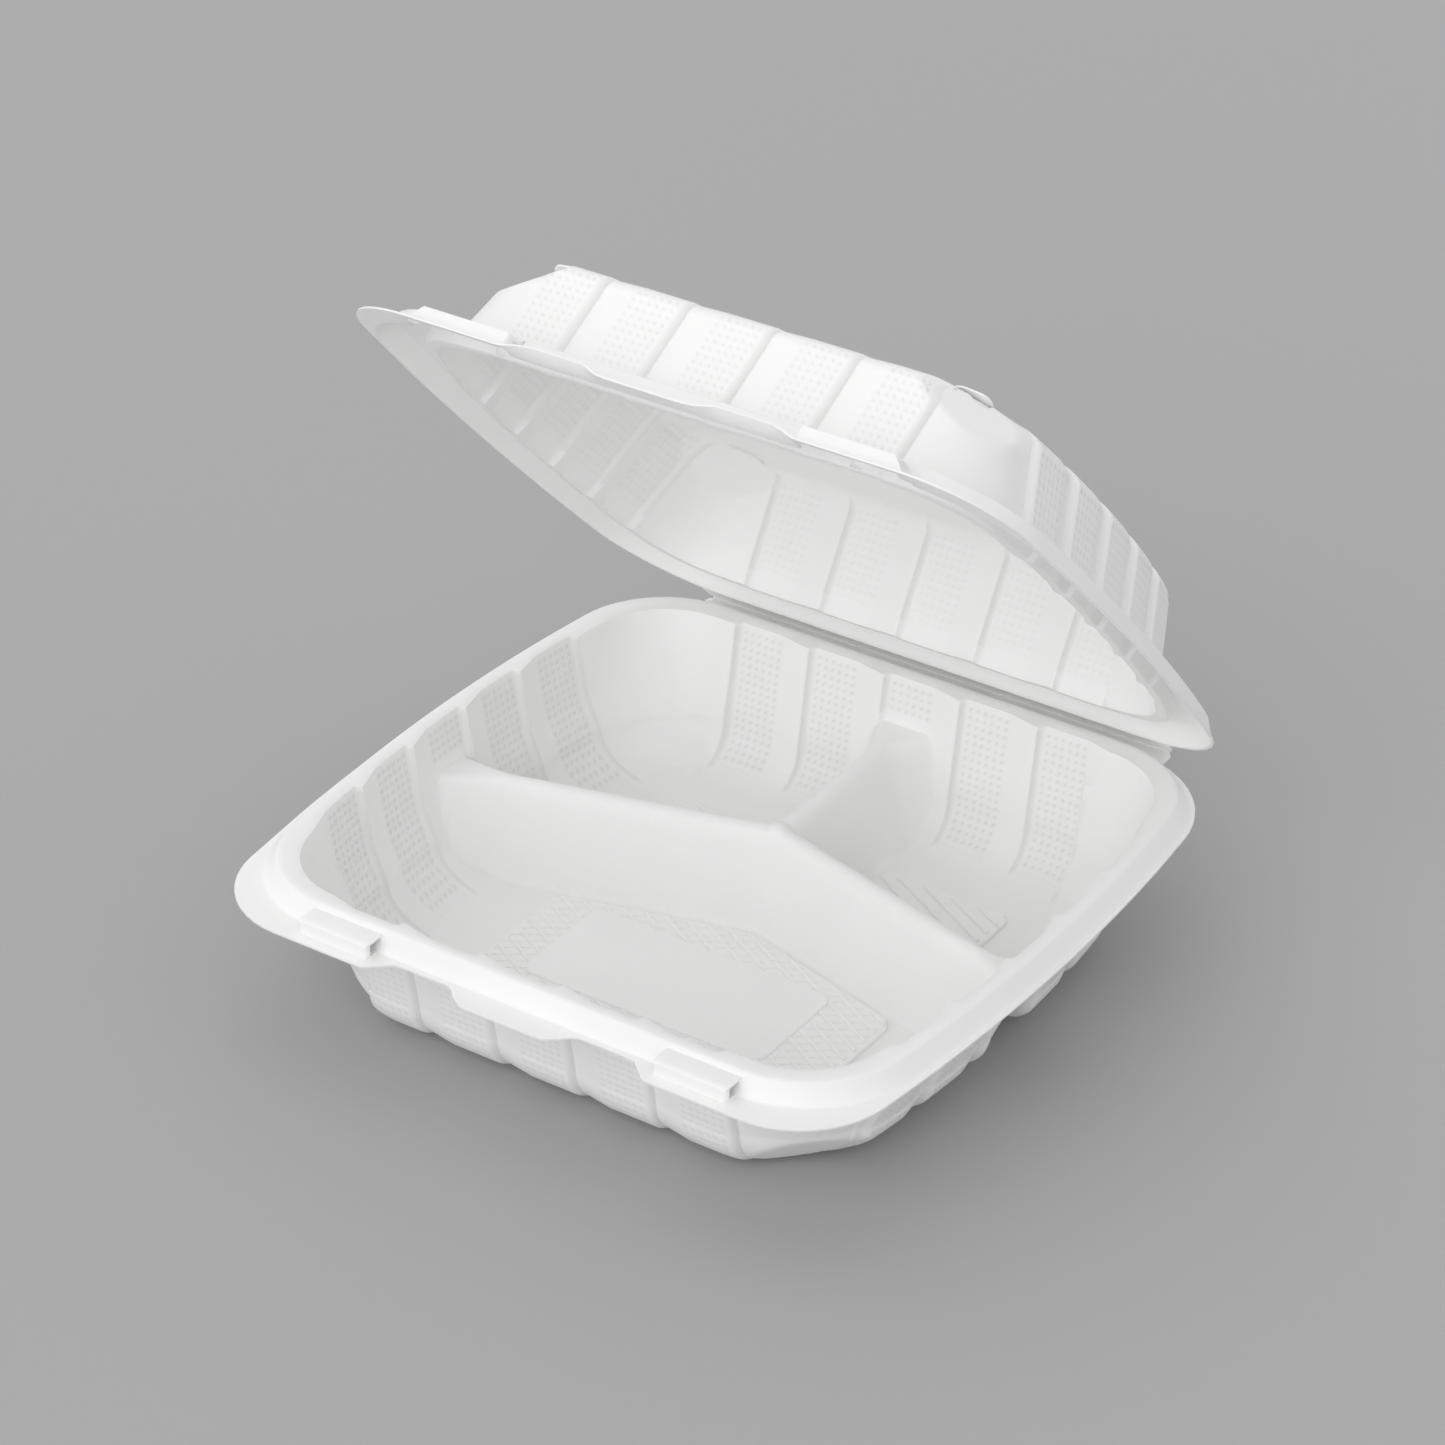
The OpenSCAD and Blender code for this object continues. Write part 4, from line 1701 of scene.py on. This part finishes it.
    def vents(self, dome: Piece) -> List[Piece]:
        """Opens the steam vents in the ceiling and models a raised flap over each.

        Args:
            dome: the walls and the ceiling.

        Returns:
            The flaps.
        """
        places = [(sx, sy) for sx in (-1, 1) for sy in (-1, 1)]
        top, past = self.height + self.sheet, 3.0
        cut_away(dome, [self.vent("cut", self.height - past, top + past, 0.0, *place) for place in places])
        tilt = math.degrees(math.atan2(self.vent_rise, self.vent_wide))
        flaps = []
        for sx, sy in places:
            name = "vent_" + ("right" if sx > 0 else "left") + ("_back" if sy > 0 else "_front")
            flaps.append(smooth(self.vent(name, self.height, top, tilt, sx, sy), 40))
        return flaps

    def slots(self, rim: Piece) -> None:
        """Opens the slots beside the latch pockets and the windows in the plug.

        Args:
            rim: the rim of the lid.
        """
        x = self.pocket_end
        slot = ((x - 1.6, -109.0, 1.4), (x + 1.6, -104.8, 4.4))
        window = ((x + 9.0, -97.0, 2.9), (x + 13.0, -91.8, 5.8))
        cutters = []
        for s in (-1.0, 1.0):
            for low, high in (slot, window):
                a, b = sorted((s * low[0], s * high[0]))
                bench = Bench("cut", (a, low[1], low[2]), (b, high[1], high[2]))
                bench.pick(Pick.EDGE, lambda m, d: abs(d.y) > ALONG)
                bench.bevel(0.5, 2)
                cutters.append(bench.done())
        cut_away(rim, cutters)

    def build(self, finish: bpy.types.Material) -> None:
        """Builds and dresses the lid.

        Args:
            finish: the plastic.
        """
        maker = self.maker()
        shells = [self.rim_piece(maker), self.dome_piece(maker)]
        self.slots(shells[0])
        flaps = self.vents(shells[1])
        for obj in shells:
            smooth(obj, 50)
        self.dress(shells, flaps + [self.half_strap("lid_strap", self.gap)], Body.LID, finish)


@dataclass(frozen=True)
class WhitePlastic:
    """Satin white formed plastic, a little uneven from the forming.

    Attributes:
        colour: the plastic where it is brightest.
        shade: the plastic where it is a little thicker.
        fold_and_painted_shade: painted shade colour for the folds beside the panels and the weave's dimples.
        glow: share of the light that scatters inside the sheet.
        glow_reach: how far that light goes, in metres.
        ior: its index of refraction.
    """

    colour: Point3 = (0.965, 0.965, 0.96)
    shade: Point3 = (0.945, 0.945, 0.94)
    fold_and_painted_shade: Point3 = (0.72, 0.72, 0.715)
    glow: float = 0.25
    glow_reach: float = 0.0015
    ior: float = 1.49

    def node(self, tree: bpy.types.NodeTree, kind: str, **values: object) -> bpy.types.Node:
        """Adds a node and sets its inputs.

        Args:
            tree: the material's nodes.
            kind: Blender's name of the node type.
            **values: inputs of the node, with _ for each space of a name.

        Returns:
            The node.
        """
        node = tree.nodes.new(kind)
        for name, value in values.items():
            node.inputs[name.replace("_", " ")].default_value = value
        return node

    def material(self) -> bpy.types.Material:
        """Builds the material.

        Returns:
            The new material.
        """
        mat = bpy.data.materials.new("white_plastic")
        mat.use_nodes = True
        tree = mat.node_tree
        shader = tree.nodes["Principled BSDF"]
        shader.inputs["IOR"].default_value = self.ior
        shader.inputs["Subsurface Weight"].default_value = self.glow
        shader.inputs["Subsurface Radius"].default_value = (1.0, 1.0, 1.0)
        shader.inputs["Subsurface Scale"].default_value = self.glow_reach
        coords = self.node(tree, "ShaderNodeTexCoord")
        cloud = self.node(tree, "ShaderNodeTexNoise", Scale=22.0, Detail=3.0)
        grain = self.node(tree, "ShaderNodeTexNoise", Scale=620.0, Detail=2.0)
        rough = self.node(tree, "ShaderNodeMapRange", To_Min=0.36, To_Max=0.52)
        bump = self.node(tree, "ShaderNodeBump", Strength=0.06, Distance=0.0004)
        tint = self.node(tree, "ShaderNodeValToRGB")
        for stop, place, colour in zip(tint.color_ramp.elements, (0.35, 0.65), (self.shade, self.colour)):
            stop.position = place
            stop.color = (*colour, 1.0)
        # Painted shade: the attribute mixes the colour towards the painted shade colour in folds and dimples
        fold_and_painted_shade = self.node(tree, "ShaderNodeAttribute")
        fold_and_painted_shade.attribute_name = "fold_and_painted_shade"
        deep = self.node(tree, "ShaderNodeMix")
        deep.data_type = "RGBA"
        deep.inputs["B"].default_value = (*self.fold_and_painted_shade, 1.0)
        links = (
            (coords, "Object", cloud, "Vector"),
            (cloud, "Fac", tint, "Fac"),
            (fold_and_painted_shade, "Fac", deep, "Factor"),
            (tint, "Color", deep, "A"),
            (deep, "Result", shader, "Base Color"),
            (cloud, "Fac", rough, "Value"),
            (rough, "Result", shader, "Roughness"),
            (coords, "Object", grain, "Vector"),
            (grain, "Fac", bump, "Height"),
            (bump, "Normal", shader, "Normal"),
        )
        for source, output, target, socket in links:
            tree.links.new(source.outputs[output], target.inputs[socket])
        return mat


@dataclass(frozen=True)
class Lamp:
    """Soft lamp: its name, its strength, its width in degrees and the direction towards it."""

    name: str
    energy: float
    spread: float
    away: Point3

    def build(self) -> None:
        """Adds the lamp to the scene."""
        lamp = bpy.data.lights.new(self.name, "SUN")
        lamp.energy = self.energy
        lamp.angle = math.radians(self.spread)
        obj = bpy.data.objects.new(self.name, lamp)
        obj.rotation_euler = Vector(self.away).to_track_quat("Z", "Y").to_euler()
        bpy.context.scene.collection.objects.link(obj)


@dataclass(frozen=True)
class Studio:
    """Pale floor, soft light and the camera."""

    floor_size: float = 6.0
    floor_colour: Point3 = (0.435, 0.435, 0.435)
    floor_rough: float = 0.9
    floor_gloss: float = 0.1
    sky: float = 0.73
    lamps: Sequence[Lamp] = (
        Lamp("key", 0.3, 60.0, (-0.55, 0.35, 1.0)),
        Lamp("fill", 1.0, 70.0, (0.0, -0.85, 0.4)),
    )
    azimuth: float = 34.208
    elevation: float = 31.479
    distance: float = 1.499
    target: Point3 = (-0.03927, 0.05027, 0.043)
    lens: float = 118.99
    sensor: float = 36.0
    clip_end: float = 50.0

    def floor(self) -> None:
        """Lays the floor."""
        bpy.ops.object.select_all(action="DESELECT")
        bpy.ops.mesh.primitive_plane_add(size=self.floor_size, location=(0.0, 0.0, 0.0))
        obj = bpy.context.object
        obj.name = "studio_floor"
        mat = bpy.data.materials.new("studio_floor")
        mat.use_nodes = True
        shader = mat.node_tree.nodes["Principled BSDF"]
        shader.inputs["Base Color"].default_value = (*self.floor_colour, 1.0)
        shader.inputs["Roughness"].default_value = self.floor_rough
        shader.inputs["Specular IOR Level"].default_value = self.floor_gloss
        obj.data.materials.append(mat)

    def light(self) -> None:
        """Sets the sky and the lamps."""
        world = bpy.data.worlds.new("studio")
        world.use_nodes = True
        sky = world.node_tree.nodes["Background"]
        sky.inputs["Color"].default_value = (1.0, 1.0, 1.0, 1.0)
        sky.inputs["Strength"].default_value = self.sky
        bpy.context.scene.world = world
        for lamp in self.lamps:
            lamp.build()

    def camera(self) -> None:
        """Sets the camera at the photograph's angle."""
        a, e = math.radians(self.azimuth), math.radians(self.elevation)
        back = Vector((math.sin(a) * math.cos(e), -math.cos(a) * math.cos(e), math.sin(e)))
        data = bpy.data.cameras.new("camera")
        data.lens = self.lens
        data.sensor_width = self.sensor
        data.clip_end = self.clip_end
        obj = bpy.data.objects.new("camera", data)
        obj.location = Vector(self.target) + back * self.distance
        obj.rotation_euler = back.to_track_quat("Z", "Y").to_euler()
        bpy.context.scene.collection.objects.link(obj)
        bpy.context.scene.camera = obj

    def build(self) -> None:
        """Sets up the floor, the light and the camera."""
        self.floor()
        self.light()
        self.camera()
        bpy.context.scene.view_settings.view_transform = "Standard"


def main() -> None:
    """Builds the container piece by piece and sets the stage."""
    logging.basicConfig(level=logging.INFO, format="%(name)s: %(message)s")
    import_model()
    seat, rim = Seat(), Rim()
    plastic = WhitePlastic().material()
    Tray(seat, rim, Weave()).build(plastic)
    # The lid's weave is shallower, with weaker painted shade in its dimples and folds
    Cover(seat, rim, Weave(height=0.5, painted_shade=0.2)).build(plastic)
    Studio().build()
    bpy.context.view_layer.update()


if __name__ == "__main__":
    main()
